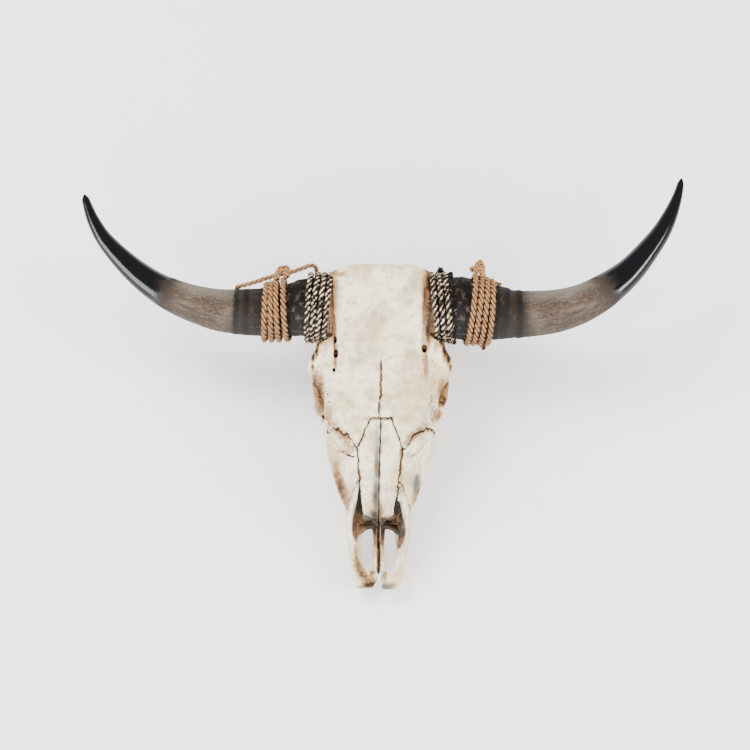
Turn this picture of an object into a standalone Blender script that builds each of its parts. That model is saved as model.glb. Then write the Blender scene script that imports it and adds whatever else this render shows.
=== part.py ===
"""A longhorn steer's skull with its horns, lying face up on its cheek teeth and the two spurs beside the
neck joint. Each horn root is bound with dark cord and, further out, with tan jute rope.

Metres, +Z up. The nose points to -Y, and left and right are the steer's own: its left side is at +X.
The skull is modelled whole by fusing simple masses of bone, and is then parted along its sutures.
"""

import math

import bmesh
import bpy
from mathutils import Matrix, Vector

# ---- Driving dimensions -------------------------------------------------------------------------------
GAP = 0.0003  # left between neighbouring pieces
FACE_TILT = math.radians(13)  # the forehead's slope when the skull lies on its teeth
NASION_HEIGHT = 0.146  # where the nasal bones meet the forehead, above the floor

HORN_JOINT = 0.090  # the plane where horn meets bone, under the dark cord
DARK_CORD = 0.0095  # diameters of the three ropes
TAN_ROPE = 0.0092
TIE_ROPE = 0.0072

VOXEL = 0.0026  # grain at which the masses of bone are fused
SOFTEN = 5  # rounds of smoothing after the fusing
BONE_TRIANGLES = 3200

# ---- Half sections of the skull, from the top middle round to the bottom middle -----------------------
# Each station: its place along the skull, then (half width, height) of ten points.
STATIONS = (
    (0.236, ((0, .186), (.036, .186), (.054, .182), (.060, .166), (.056, .142),
             (.056, .110), (.046, .084), (.030, .072), (.014, .070), (0, .070))),
    (0.224, ((0, .194), (.040, .194), (.062, .190), (.070, .174), (.064, .145),
             (.066, .108), (.056, .076), (.038, .062), (.018, .060), (0, .060))),
    (0.205, ((0, .193), (.042, .193), (.064, .190), (.071, .168), (.065, .138),
             (.067, .100), (.056, .066), (.036, .052), (.016, .048), (0, .048))),
    (0.170, ((0, .1855), (.046, .186), (.066, .183), (.071, .162), (.063, .132),
             (.061, .096), (.046, .066), (.028, .050), (.014, .045), (0, .045))),
    (0.135, ((0, .1775), (.048, .178), (.067, .174), (.072, .158), (.060, .130),
             (.056, .096), (.042, .068), (.026, .054), (.014, .050), (0, .050))),
    (0.1255, ((0, .175), (.050, .176), (.073, .170), (.079, .157), (.064, .128),
              (.055, .094), (.040, .068), (.025, .056), (.013, .052), (0, .052))),
    (0.118, ((0, .1735), (.054, .1745), (.088, .164), (.092, .153), (.064, .126),
             (.054, .093), (.039, .068), (.025, .057), (.012, .054), (0, .054))),
    (0.104, ((0, .1705), (.056, .1715), (.098, .158), (.094, .149), (.062, .124),
             (.052, .092), (.038, .069), (.025, .059), (.012, .056), (0, .056))),
    (0.082, ((0, .1655), (.060, .166), (.108, .149), (.102, .139), (.060, .116),
             (.047, .090), (.034, .072), (.024, .062), (.012, .060), (0, .060))),
    (0.048, ((0, .1575), (.060, .158), (.095, .146), (.088, .136), (.060, .112),
             (.052, .086), (.044, .062), (.032, .050), (.016, .054), (0, .058))),
    (0.018, ((0, .1505), (.056, .150), (.080, .137), (.082, .118), (.081, .092),
             (.077, .056), (.072, .023), (.050, .022), (.026, .036), (0, .038))),
    (-0.015, ((0, .1415), (.042, .142), (.067, .128), (.078, .103), (.083, .076),
              (.078, .046), (.073, .023), (.050, .021), (.026, .034), (0, .036))),
    (-0.050, ((0, .133), (.033, .132), (.057, .115), (.073, .090), (.081, .066),
              (.076, .044), (.067, .023), (.046, .021), (.024, .033), (0, .035))),
    (-0.085, ((0, .125), (.030, .1235), (.046, .108), (.062, .084), (.072, .060),
              (.066, .040), (.056, .024), (.038, .022), (.020, .031), (0, .033))),
    (-0.112, ((0, .119), (.028, .1175), (.038, .102), (.051, .079), (.061, .057),
              (.057, .042), (.045, .031), (.028, .027), (.014, .029), (0, .030))),
    (-0.121, ((0, .108), (.020, .106), (.034, .098), (.048, .076), (.056, .056),
              (.053, .042), (.043, .032), (.028, .028), (.014, .029), (0, .030))),
    (-0.128, ((0, .042), (.012, .042), (.026, .044), (.043, .056), (.053, .054),
              (.051, .042), (.041, .033), (.027, .028), (.014, .029), (0, .030))),
    (-0.148, ((0, .040), (.010, .040), (.024, .041), (.038, .045), (.048, .046),
              (.048, .041), (.040, .033), (.027, .029), (.014, .029), (0, .030))),
)

# The nose bones' free roof: place along the skull, half width, height of its middle.
NASAL_ROOF = ((-0.085, 0.031, 0.1262), (-0.112, 0.0285, 0.1195), (-0.132, 0.0255, 0.1145),
              (-0.149, 0.0215, 0.1100), (-0.156, 0.014, 0.1077), (-0.162, 0.006, 0.1060))

# One premaxilla's outer arm and body: place along the skull, then six (out from the middle, height).
PREMAXILLA = (
    (-0.098, ((.032, .108), (.039, .104), (.045, .090), (.041, .084), (.035, .092), (.031, .102))),
    (-0.120, ((.038, .099), (.043, .094), (.051, .070), (.047, .060), (.042, .072), (.036, .090))),
    (-0.145, ((.044, .077), (.048, .072), (.052, .052), (.045, .038), (.030, .033), (.037, .054))),
    (-0.180, ((.042, .053), (.047, .048), (.048, .036), (.038, .027), (.025, .028), (.033, .043))),
    (-0.210, ((.034, .041), (.042, .037), (.043, .028), (.033, .021), (.020, .022), (.025, .036))),
    (-0.230, ((.018, .038), (.036, .037), (.042, .030), (.034, .021), (.008, .021), (.005, .032))),
    (-0.247, ((.014, .036), (.032, .035), (.040, .030), (.033, .023), (.012, .023), (.008, .030))),
)

# ---- Masses of bone on each side ----------------------------------------------------------------------
# A limb is a run of balls joined by cones: (out, along, up, radius). A lump is (centre, radii).
LIMBS = {
    "eye_socket_rim": ((.107, .082, .143, .0075), (.1055, .088, .128, .0065), (.1030, .087, .108, .0065),
                       (.1000, .076, .091, .0080), (.0990, .056, .083, .0085), (.0950, .036, .083, .0080),
                       (.0865, .019, .090, .0080), (.0850, .011, .106, .0078), (.0850, .014, .122, .0075),
                       (.0830, .028, .138, .0070), (.0890, .046, .147, .0065), (.0980, .066, .149, .0065),
                       (.107, .082, .143, .0075)),
    "cheek_arch": ((.099, .070, .084, .0090), (.100, .100, .084, .0070), (.095, .132, .084, .0075),
                   (.085, .160, .078, .0100), (.064, .190, .078, .0120)),
    "facial_crest": ((.0890, .022, .082, .0070), (.0770, -.006, .074, .0080), (.0740, -.040, .067, .0085)),
    "temporal_line": ((.107, .080, .146, .0065), (.098, .101, .155, .0055), (.078, .112, .161, .0060)),
    "horn_root": ((.045, .1785, .1450, .0400), (.072, .1785, .1445, .0435), (.080, .1785, .1440, .0465),
                  (.110, .1785, .1440, .0465)),
    "ear_tube": ((.056, .188, .086, .0110), (.068, .194, .084, .0070)),
    "jugular_spur": ((.056, .216, .070, .0130), (.058, .214, .036, .0085), (.057, .209, .0045, .0060)),
    "pterygoid": ((.026, .022, .040, .0050), (.025, .060, .042, .0045), (.024, .092, .042, .0045),
                  (.020, .124, .056, .0060)),
    "pterygoid_root": ((.028, .030, .056, .0050), (.026, .070, .058, .0050), (.023, .110, .058, .0060)),
    "pterygoid_hook": ((.024, .086, .042, .0042), (.022, .098, .026, .0028)),
    "skull_floor": ((.005, .130, .058, .0120), (.008, .222, .056, .0140)),
    "neck_joint": ((.012, .226, .038, .0130), (.027, .232, .048, .0150), (.031, .231, .064, .0120),
                   (.026, .226, .080, .0070)),
    "palatine_rod": ((.0058, -.228, .030, .0047), (.0058, -.185, .033, .0045), (.0065, -.125, .038, .0050)),
    "palate_edge": ((.034, -.160, .038, .0070), (.010, -.148, .036, .0060)),
    "back_of_jaw": ((.066, .034, .040, .0120), (.062, .048, .058, .0110), (.058, .054, .078, .0100)),
    "poll": ((.000, .226, .189, .0100), (.036, .226, .1885, .0100), (.056, .2235, .185, .0098),
             (.0690, .2195, .181, .0095), (.0740, .209, .176, .0092)),
}
# Limbs on one side only, with the steer's right below zero.
ODD_LIMBS = {
    "right_tear_bone": ((-.0960, .036, .100, .0100), (-.0975, .022, .104, .0105), (-.0900, .008, .106, .0095)),
    "left_muzzle_tip": ((.0095, -.2475, .0295, .0052), (.0300, -.2440, .0290, .0050)),
}
LUMPS = {
    "brow": ((.083, .085, .147), (.024, .032, .012)),
    "mastoid": ((.058, .208, .084), (.016, .020, .024)),
    "ear_bulb": ((.038, .176, .052), (.012, .020, .017)),
}
# Cheek teeth, from the back molar forwards: (out, along), width and length of each crown.
TEETH = (
    (.0610, .0210, .0210, .0270), (.0620, -.0050, .0220, .0250), (.0600, -.0295, .0210, .0235),
    (.0560, -.0505, .0190, .0180), (.0510, -.0685, .0170, .0175), (.0460, -.0860, .0140, .0165),
)
CROWN_TOP = 0.034

# ---- Hollows ------------------------------------------------------------------------------------------
EYE_SOCKET = ((.108, .048, .116), (.048, .0300, .0295))
TEMPLE = ((.106, .128, .118), (.041, .0360, .0340))
CHOANA = ((0, .075, .046), (.019, .044, .020))
NASAL_CAVITY = (  # place along the skull, then half sections of the hollow
    (-0.190, ((0, .120), (.022, .112), (.036, .096), (.043, .070), (.034, .050), (.022, .040), (0, .040))),
    (-0.135, ((0, .106), (.020, .103), (.031, .092), (.040, .070), (.040, .052), (.026, .041), (0, .040))),
    (-0.100, ((0, .113), (.018, .110), (.028, .095), (.036, .074), (.034, .054), (.020, .042), (0, .041))),
    (-0.065, ((0, .104), (.010, .102), (.018, .090), (.022, .072), (.018, .056), (.010, .050), (0, .049))),
)
CORD_SEAT = (.0772, .1785, .1440, .0466, .0572, .107)  # out, along, up, radii, slope
NECK_HOLE = ((0, .262, .064), (0, .195, .070), .0175)  # foramen magnum: from, to, radius
BROW_HOLE = ((.0680, .1060), .0042, .020)  # supraorbital foramen: on the face, radius, depth
CHEEK_HOLE = ((.066, -.105, .062), (.050, -.075, .064), .0050)  # infraorbital foramen

# ---- Sutures ------------------------------------------------------------------------------------------
NASAL_OUTLINE = ((0, .0010), (.0160, .0010), (.0260, -.0230), (.0350, -.0460), (.0330, -.0700),
                 (.0305, -.0950), (.0290, -.1210), (.0290, -.1900))  # half width and place on the face
NASAL_DEPTH = 0.013
PREMAXILLA_CUT = ((-.090, .112), (-.152, .024))  # (along, up) of the slanting joint's two ends
CHEEK_SUTURE = ((0, -.046), (.036, -.046), (.052, -.024), (.068, -.014), (.084, -.008), (.120, -.006))
JAW_BACK = 0.062  # the upper jaw reaches this far back under the eye socket
JAW_LEVEL = 0.064  # ... below this height

# ---- Horns: (out, along the face, above the face, radius) from the root to the tip --------------------
HORN_RIGHT = (
    (-.0903, .1735, -.0420, .0466), (-.1070, .1735, -.0420, .0466), (-.1220, .1725, -.0420, .0450),
    (-.1410, .1700, -.0430, .0413), (-.1823, .1663, -.0440, .0380), (-.2431, .1683, -.0430, .0340),
    (-.2803, .1758, -.0400, .0304), (-.3182, .1888, -.0340, .0268), (-.3547, .2081, -.0250, .0227),
    (-.3904, .2364, -.0120, .0183), (-.4252, .2741, .0060, .0132), (-.4425, .3027, .0180, .0094),
    (-.4531, .3277, .0280, .0061), (-.4558, .3402, .0330, .0036),
)
HORN_LEFT = (
    (.0903, .1735, -.0420, .0466), (.1070, .1735, -.0420, .0468), (.1210, .1730, -.0420, .0488),
    (.1370, .1705, -.0420, .0485), (.1670, .1665, -.0430, .0436), (.1875, .1650, -.0440, .0418),
    (.2059, .1633, -.0440, .0380), (.2433, .1643, -.0430, .0357), (.2811, .1693, -.0400, .0334),
    (.3181, .1812, -.0340, .0301), (.3547, .2027, -.0240, .0266), (.3902, .2325, -.0100, .0215),
    (.4246, .2761, .0100, .0160), (.4416, .3068, .0240, .0124), (.4534, .3397, .0380, .0079),
    (.4596, .3680, .0495, .0034),
)

# ---- Knots and rope ends: (out, degrees round the horn, gap to it); 0 is its upper side, 90 its poll side
CORD_BUMP = ((.0900, 96, .0060), (.0935, 92, .0145), (.0975, 84, .0085))
LEFT_BIGHT = ((.1275, 84, .0155), (.1310, 88, .0210), (.1355, 90, .0270), (.1410, 90, .0292),
              (.1465, 88, .0255), (.1505, 84, .0180), (.1550, 78, .0110), (.1610, 72, .0060))
LEFT_TAIL = ((.1640, 232, .0070), (.1665, 250, .0090), (.1680, 265, .0150))
LEFT_STRAY = ((.1630, 94, .0070), (.1710, 92, .0050), (.1790, 84, .0035), (.1850, 76, .0035))
RIGHT_HITCH = ((.1600, 80, .0060), (.1575, 88, .0170), (.1525, 92, .0240), (.1465, 92, .0265),
               (.1405, 90, .0240), (.1395, 86, .0175), (.1440, 80, .0120), (.1490, 74, .0060))
RIGHT_TIE = ((.1700, 205, .0060), (.1900, 185, .0045), (.2120, 155, .0041), (.2250, 125, .0041),
             (.2280, 102, .0042), (.2160, 90, .0062), (.1980, 90, .0103), (.1830, 90, .0142),
             (.1700, 90, .0155), (.1560, 90, .0170), (.1400, 90, .0165), (.1250, 90, .0155),
             (.1110, 91, .0190), (.1050, 94, .0195), (.1015, 106, .0165), (.1020, 128, .0150),
             (.1060, 150, .0150), (.1160, 172, .0150), (.1310, 192, .0125), (.1480, 204, .0060))


# ---- Shaping ------------------------------------------------------------------------------------------
def on_face(out, along, lift=0.0):
    """A point given on the face plane, as seen square on, and its lift above that plane."""
    c, s = math.cos(FACE_TILT), math.sin(FACE_TILT)
    return Vector((out, along * c - lift * s, NASION_HEIGHT + along * s + lift * c))


def spline(points, steps, closed=False):
    """Points on a smooth curve through the given ones, with so many steps to each stretch."""
    last = len(points) - 1
    found = []
    for i in range(last + closed):
        if closed:
            a, b, c, d = (points[(i + k) % (last + 1)] for k in (-1, 0, 1, 2))
        else:
            a, b, c, d = (points[min(max(i + k, 0), last)] for k in (-1, 0, 1, 2))
        for step in range(steps):
            t = step / steps
            bend = (a * 2 - b * 5 + c * 4 - d) * t**2 + (b * 3 - a - c * 3 + d) * t**3
            found.append((b * 2 + (c - a) * t + bend) / 2)
    return found if closed else found + [points[-1]]


def both_sides(half):
    """A whole ring from a half section that starts and ends on the middle plane."""
    return list(half) + [(-x, z) for x, z in reversed(half[1:-1])]


def loft(shape, stations, steps_round=3, steps_along=4):
    """Adds a smooth body through rings given as (place along Y, [(x, z), ...])."""
    rings = [spline([Vector((x, y, z)) for x, z in ring], steps_round, closed=True) for y, ring in stations]
    runs = [spline([ring[i] for ring in rings], steps_along) for i in range(len(rings[0]))]
    rows = [[shape.verts.new(run[k]) for run in runs] for k in range(len(runs[0]))]
    for one, two in zip(rows, rows[1:]):
        for i in range(len(one)):
            j = (i + 1) % len(one)
            shape.faces.new((one[i], one[j], two[j], two[i]))
    shape.faces.new(rows[0])
    shape.faces.new(rows[-1][::-1])


def ball(shape, centre, radii):
    place = Matrix.Translation(centre) @ Matrix.Diagonal((*radii, 1.0))
    bmesh.ops.create_uvsphere(shape, u_segments=28, v_segments=18, radius=1.0, matrix=place)


def limb(shape, points, segments=20):
    """Adds balls of the given radii, with a cone from each to the next."""
    for x, y, z, radius in points:
        ball(shape, (x, y, z), (radius,) * 3)
    for one, two in zip(points, points[1:]):
        a, b = Vector(one[:3]), Vector(two[:3])
        turn = (b - a).to_track_quat("Z", "Y").to_matrix().to_4x4()
        place = Matrix.Translation((a + b) / 2) @ turn
        bmesh.ops.create_cone(shape, cap_ends=True, segments=segments, radius1=one[3], radius2=two[3],
                              depth=(b - a).length, matrix=place)


def flip(points, side):
    return [(side * p[0], *p[1:]) for p in points]


def make_object(name, shape, collection):
    """Turns the shape into an object, with all its faces pointing out."""
    bmesh.ops.recalc_face_normals(shape, faces=shape.faces)
    mesh = bpy.data.meshes.new(name)
    shape.to_mesh(mesh)
    shape.free()
    made = bpy.data.objects.new(name, mesh)
    collection.objects.link(made)
    return made


def settle(obj):
    """Applies all of an object's modifiers."""
    bpy.context.view_layer.update()
    graph = bpy.context.evaluated_depsgraph_get()
    mesh = bpy.data.meshes.new_from_object(obj.evaluated_get(graph))
    obj.modifiers.clear()
    obj.data = mesh
    return obj


def combine(obj, other, operation):
    """Cuts, joins or intersects obj with another object, which stays as it is."""
    change = obj.modifiers.new(operation.lower(), "BOOLEAN")
    change.operation = operation
    change.object = other
    change.solver = "EXACT"
    return settle(obj)


def fuse(obj, voxel, rounds, triangles=None):
    """Makes one skin round everything in obj, softens it and thins out its facets."""
    skin = obj.modifiers.new("skin", "REMESH")
    skin.mode = "VOXEL"
    skin.voxel_size = voxel
    soften = obj.modifiers.new("soften", "SMOOTH")
    soften.factor = 0.5
    soften.iterations = rounds
    settle(obj)
    if triangles:
        obj.data.calc_loop_triangles()
        thin = obj.modifiers.new("thin", "DECIMATE")
        thin.ratio = triangles / len(obj.data.loop_triangles)
        settle(obj)
    return obj


def largest_body(obj):
    """Keeps the biggest connected body, and drops slivers that a cut leaves beside it."""
    shape = bmesh.new()
    shape.from_mesh(obj.data)
    left = set(shape.verts)
    bodies = []
    while left:
        front = [left.pop()]
        body = set(front)
        while front:
            for edge in front.pop().link_edges:
                for vert in edge.verts:
                    if vert in left:
                        left.remove(vert)
                        body.add(vert)
                        front.append(vert)
        bodies.append(body)
    keep = max(bodies, key=len)
    bmesh.ops.delete(shape, geom=[v for v in shape.verts if v not in keep], context="VERTS")
    shape.to_mesh(obj.data)
    shape.free()
    return obj


# ---- Scene --------------------------------------------------------------------------------------------
for old in list(bpy.data.objects):
    bpy.data.objects.remove(old)
parts = bpy.data.collections.new("longhorn_steer_skull")
helpers = bpy.data.collections.new("cutters")
for collection in (parts, helpers):
    bpy.context.scene.collection.children.link(collection)


def helper(name, build, *args):
    """A cutter or a mass that stays out of the finished model."""
    shape = bmesh.new()
    build(shape, *args)
    made = make_object(name, shape, helpers)
    made.hide_render = True
    made.display_type = "WIRE"
    return made


# ---- The whole skull ----------------------------------------------------------------------------------
def skull_core(shape):
    loft(shape, [(y, both_sides(half)) for y, half in STATIONS])


def nose_roof(shape):
    """The nasal bones as one thin arched sheet that runs out over the nasal opening."""
    rings = []
    for y, width, top in NASAL_ROOF:
        half = ((0, top), (.55 * width, top - .0012), (.88 * width, top - .0055), (width, top - .0110),
                (.93 * width, top - .0150), (.76 * width, top - .0115), (.50 * width, top - .0072),
                (0, top - .0058))
        rings.append((y, both_sides(half)))
    loft(shape, rings)


def side_masses(shape):
    for side in (1, -1):
        for points in LIMBS.values():
            limb(shape, flip(points, side))
        for centre, radii in LUMPS.values():
            ball(shape, flip([centre], side)[0], radii)
        loft(shape, [(y, [(side * x, z) for x, z in ring]) for y, ring in PREMAXILLA])
        for out, along, width, length in TEETH:
            place = Matrix.Translation((side * out, along, CROWN_TOP / 2 - .002))
            turned = Matrix.Diagonal((width, length, 1.0, 1.0)) @ Matrix.Rotation(math.pi / 8, 4, "Z")
            bmesh.ops.create_cone(shape, cap_ends=True, segments=8, radius1=.54, radius2=.54,
                                  depth=CROWN_TOP + .004, matrix=place @ turned)
    for points in ODD_LIMBS.values():
        limb(shape, points)


def hollows(shape):
    for side in (1, -1):
        for centre, radii in (EYE_SOCKET, TEMPLE):
            ball(shape, flip([centre], side)[0], radii)


def nasal_cavity(shape):
    loft(shape, [(y, both_sides(half)) for y, half in NASAL_CAVITY])


def drill(shape, start, end, radius):
    a, b = Vector(start), Vector(end)
    turn = (b - a).to_track_quat("Z", "Y").to_matrix().to_4x4()
    bmesh.ops.create_cone(shape, cap_ends=True, segments=12, radius1=radius, radius2=radius,
                          depth=(b - a).length, matrix=Matrix.Translation((a + b) / 2) @ turn)


def small_holes(shape):
    drill(shape, *NECK_HOLE)
    for side in (1, -1):
        (out, along), radius, depth = BROW_HOLE
        drill(shape, on_face(side * out, along, depth), on_face(side * out, along, -depth), radius)
        start, end, radius = CHEEK_HOLE
        drill(shape, *flip([start, end], side), radius)


def cord_seats(shape):
    """A ring of room on each side for the first turns of dark cord, further in towards the poll."""
    out, along, up, inner, outer, slope = CORD_SEAT
    for side in (1, -1):
        rings = []
        for depth, radius in ((0, inner), (0, outer), (.030, outer), (.030, inner)):
            ring = []
            for k in range(28):
                y = radius * math.cos(math.tau * k / 28)
                z = radius * math.sin(math.tau * k / 28)
                ring.append(shape.verts.new((side * (out + depth - y * slope), along + y, up + z)))
            rings.append(ring)
        for one, two in zip(rings, rings[1:] + rings[:1]):
            for i in range(28):
                j = (i + 1) % 28
                shape.faces.new((one[i], one[j], two[j], two[i]))


def block(shape, low, high):
    middle = (Vector(low) + Vector(high)) / 2
    size = Vector(high) - Vector(low)
    place = Matrix.Translation(middle) @ Matrix.Diagonal((*size, 1.0))
    bmesh.ops.create_cube(shape, size=1.0, matrix=place)


def whole_skull():
    skull = helper("skull", skull_core)
    combine(skull, helper("eye_sockets_and_temples", hollows), "DIFFERENCE")
    combine(skull, helper("nasal_cavity", nasal_cavity), "DIFFERENCE")
    combine(skull, helper("choana", ball, *CHOANA), "DIFFERENCE")
    shape = bmesh.new()
    shape.from_mesh(skull.data)
    nose_roof(shape)
    side_masses(shape)
    shape.to_mesh(skull.data)
    shape.free()
    fuse(skull, VOXEL, SOFTEN, BONE_TRIANGLES)
    combine(skull, helper("foramina", small_holes), "DIFFERENCE")
    combine(skull, helper("floor_cut", block, (-.3, -.4, -.1), (.3, .4, 0)), "DIFFERENCE")
    combine(skull, helper("rod_gap", block, (-.0008, -.3, -.1), (.0008, -.130, .045)), "DIFFERENCE")
    combine(skull, helper("cord_seats", cord_seats), "DIFFERENCE")
    for side in (1, -1):
        low, high = sorted((side * HORN_JOINT, side * .3))
        combine(skull, helper("horn_joint_cut", block, (low, .124, .090), (high, .3, .25)), "DIFFERENCE")
    return largest_body(skull)


# ---- Parting along the sutures ------------------------------------------------------------------------
def prism(shape, outline, placed, low, high):
    """A closed prism on an outline; placed(a, b, height) gives its corners at the two heights."""
    rows = [[shape.verts.new(placed(a, b, height)) for a, b in outline] for height in (low, high)]
    count = len(outline)
    for i in range(count):
        j = (i + 1) % count
        shape.faces.new((rows[0][i], rows[0][j], rows[1][j], rows[1][i]))
    shape.faces.new(rows[0])
    shape.faces.new(rows[1][::-1])


def nasal_prism(shape, shrink):
    """Everything within the outline of the two nasal bones, from their underside up."""
    half = [(max(x - shrink, 0), y - (shrink if y > -.01 else 0)) for x, y in NASAL_OUTLINE]
    outline = half + [(-x, y) for x, y in half[:0:-1]]
    prism(shape, outline, on_face, -NASAL_DEPTH + shrink, .05)


def premaxilla_prism(shape, shrink):
    """Everything in front of the slanting joint of the premaxillae."""
    (y1, z1), (y2, z2) = PREMAXILLA_CUT
    slope = (y2 - y1) / (z2 - z1)
    top, low = y1 + (.30 - z1) * slope - shrink, y1 + (-.1 - z1) * slope - shrink
    outline = ((top, .30), (low, -.1), (-.5, -.1), (-.5, .30))
    prism(shape, outline, lambda a, b, height: Vector((height, a, b)), -.2, .2)


def jaw_prism(shape, shrink):
    """Everything in front of the cheek suture, at all heights."""
    back = [(x, y - shrink) for x, y in CHEEK_SUTURE]
    outline = [(x, y) for x, y in back] + [(.12, -.5), (-.12, -.5)] + [(-x, y) for x, y in back[:0:-1]]
    prism(shape, outline, lambda a, b, height: Vector((a, b, height)), -.1, .3)


def under_jaw(shape, shrink):
    block(shape, (-.2, -.5, -.1), (.2, JAW_BACK - shrink, JAW_LEVEL - shrink))


def piece(name, cuts):
    """A copy of the skull after a run of (helper, operation)."""
    made = skull.copy()
    made.data = skull.data.copy()
    made.name = name
    made.hide_render = False
    made.display_type = "TEXTURED"
    parts.objects.link(made)
    for cutter, operation in cuts:
        combine(made, cutter, operation)
    return largest_body(made)


# ---- Horns and ropes ----------------------------------------------------------------------------------
SIDES = 14  # corners round a horn, and bends in each turn of rope


class Horn:
    """A horn's centre line and radius, and the directions square to it."""

    def __init__(self, points):
        self.side = 1 if points[0][0] > 0 else -1
        path = spline([Vector((*on_face(*p[:3]), p[3])) for p in points], 2)
        self.path = path
        ends = [path[max(i - 1, 0)] for i in range(len(path))]
        nexts = [path[min(i + 1, len(path) - 1)] for i in range(len(path))]
        self.runs = [(b.xyz - a.xyz).normalized() for a, b in zip(ends, nexts)]
        self.runs[0] = Vector((self.side, 0, 0))

    def at(self, out):
        """Centre, radius and direction of the horn at this distance from the middle plane."""
        path, runs = self.path, self.runs
        if out <= abs(path[0].x):
            return Vector((self.side * out, *path[0].yz)), path[0].w, runs[0]
        i = next(k for k in range(len(path) - 1) if abs(path[k + 1].x) >= out)
        t = (out - abs(path[i].x)) / (abs(path[i + 1].x) - abs(path[i].x))
        here = path[i].lerp(path[i + 1], t)
        return here.xyz, here.w, runs[i].lerp(runs[i + 1], t).normalized()

    def round(self, centre, run, radius, degrees):
        """A point beside the horn: 0 degrees is its upper side, 90 its side towards the poll."""
        up = Vector((0, -math.sin(FACE_TILT), math.cos(FACE_TILT)))
        up = (up - run * up.dot(run)).normalized()
        back = up.cross(run) * self.side
        if back.y < 0:
            back = -back
        a = math.radians(degrees)
        return centre + (up * math.cos(a) + back * math.sin(a)) * radius

    def beside(self, out, degrees, gap):
        """A point this far outside the horn's surface."""
        centre, radius, run = self.at(out)
        return self.round(centre, run, radius + gap, degrees)

    def solid(self, name):
        shape = bmesh.new()
        rows = []
        for place, run in zip(self.path, self.runs):
            ring = [self.round(place.xyz, run, place.w, 360 * k / SIDES) for k in range(SIDES)]
            rows.append([shape.verts.new(point) for point in ring])
        for one, two in zip(rows, rows[1:]):
            for i in range(SIDES):
                j = (i + 1) % SIDES
                shape.faces.new((one[i], one[j], two[j], two[i]))
        shape.faces.new(rows[0])
        shape.faces.new(rows[-1][::-1])
        return make_object(name, shape, parts)

    def winding(self, outs, rope, lean=0.0, lead_in=60, lead_out=60):
        """A rope wound square across the upper side, which moves on by one turn underneath."""
        points = []
        step = 360 / SIDES
        first = -math.floor((90 + lead_in) / step)
        last = math.ceil((360 * (len(outs) - 1) + 90 + lead_out) / step)
        for k in range(first, last + 1):
            degrees = k * step
            turn = min(max(math.floor((degrees + 90) / 360), 0), len(outs) - 1)
            here = outs[turn]
            under = degrees - 360 * turn - 90
            if degrees < -90:
                here += (degrees + 90) / 180 * (outs[1] - outs[0])
            elif under > 0:
                ahead = outs[turn + 1] - here if turn + 1 < len(outs) else here - outs[turn - 1]
                here += under / 180 * ahead
            here -= lean * math.sin(math.radians(degrees))
            centre, radius, run = self.at(here)
            radius = max(radius, self.at(here + rope / 2)[1], self.at(max(here - rope / 2, 0))[1])
            reach = radius + (rope / 2 + .0005) / math.cos(math.pi / SIDES)
            points.append(self.round(centre, run, reach, degrees))
        return points


def tube(name, points, thickness, collection):
    """A solid round rope along the points."""
    curve = bpy.data.curves.new(name, "CURVE")
    curve.dimensions = "3D"
    curve.bevel_depth = thickness / 2
    curve.bevel_resolution = 1
    curve.use_fill_caps = True
    run = curve.splines.new("POLY")
    run.points.add(len(points) - 1)
    for place, point in zip(run.points, points):
        place.co = (*point, 1.0)
    made = bpy.data.objects.new(name, curve)
    collection.objects.link(made)
    bpy.context.view_layer.update()
    mesh = bpy.data.meshes.new_from_object(made.evaluated_get(bpy.context.evaluated_depsgraph_get()))
    shape = bmesh.new()
    shape.from_mesh(mesh)
    bpy.data.objects.remove(made)
    bmesh.ops.remove_doubles(shape, verts=shape.verts, dist=.00001)
    return make_object(name, shape, collection)


def rope(name, main, thickness, extras=()):
    made = tube(name, main, thickness, parts)
    for points, width in extras:
        extra = tube(name + "_end", points, width, helpers)
        extra.hide_render = True
        extra.display_type = "WIRE"
        combine(made, extra, "UNION")
    return made


# ---- Assembly -----------------------------------------------------------------------------------------
skull = whole_skull()
nose = helper("nasal_region", nasal_prism, 0)
nose_inside = helper("nasal_region_inside", nasal_prism, GAP)
front = helper("premaxilla_region", premaxilla_prism, 0)
front_inside = helper("premaxilla_region_inside", premaxilla_prism, GAP)
jaw = helper("jaw_region", jaw_prism, 0)
jaw_inside = helper("jaw_region_inside", jaw_prism, GAP)
under = helper("under_jaw_region", under_jaw, 0)
combine(jaw_inside, helper("under_jaw_region_inside", under_jaw, GAP), "UNION")
half = {side: helper("half", block, *sorted(((side * GAP / 2, -.5, -.1), (side * .3, .5, .3)))) for side in (1, -1)}

piece("cranium", ((nose, "DIFFERENCE"), (front, "DIFFERENCE"), (jaw, "DIFFERENCE"), (under, "DIFFERENCE")))
for side, word in ((1, "left"), (-1, "right")):
    piece("nasal_" + word, ((nose_inside, "INTERSECT"), (half[side], "INTERSECT")))
    piece("premaxilla_" + word, ((nose, "DIFFERENCE"), (front_inside, "INTERSECT"), (half[side], "INTERSECT")))
    piece("maxilla_" + word, ((nose, "DIFFERENCE"), (front, "DIFFERENCE"), (jaw_inside, "INTERSECT"),
                              (half[side], "INTERSECT")))


left, right = Horn(HORN_LEFT), Horn(HORN_RIGHT)
left.solid("horn_left")
right.solid("horn_right")


def ends(horn, *runs):
    return [([horn.beside(*point) for point in points], width) for points, width in runs]


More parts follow.
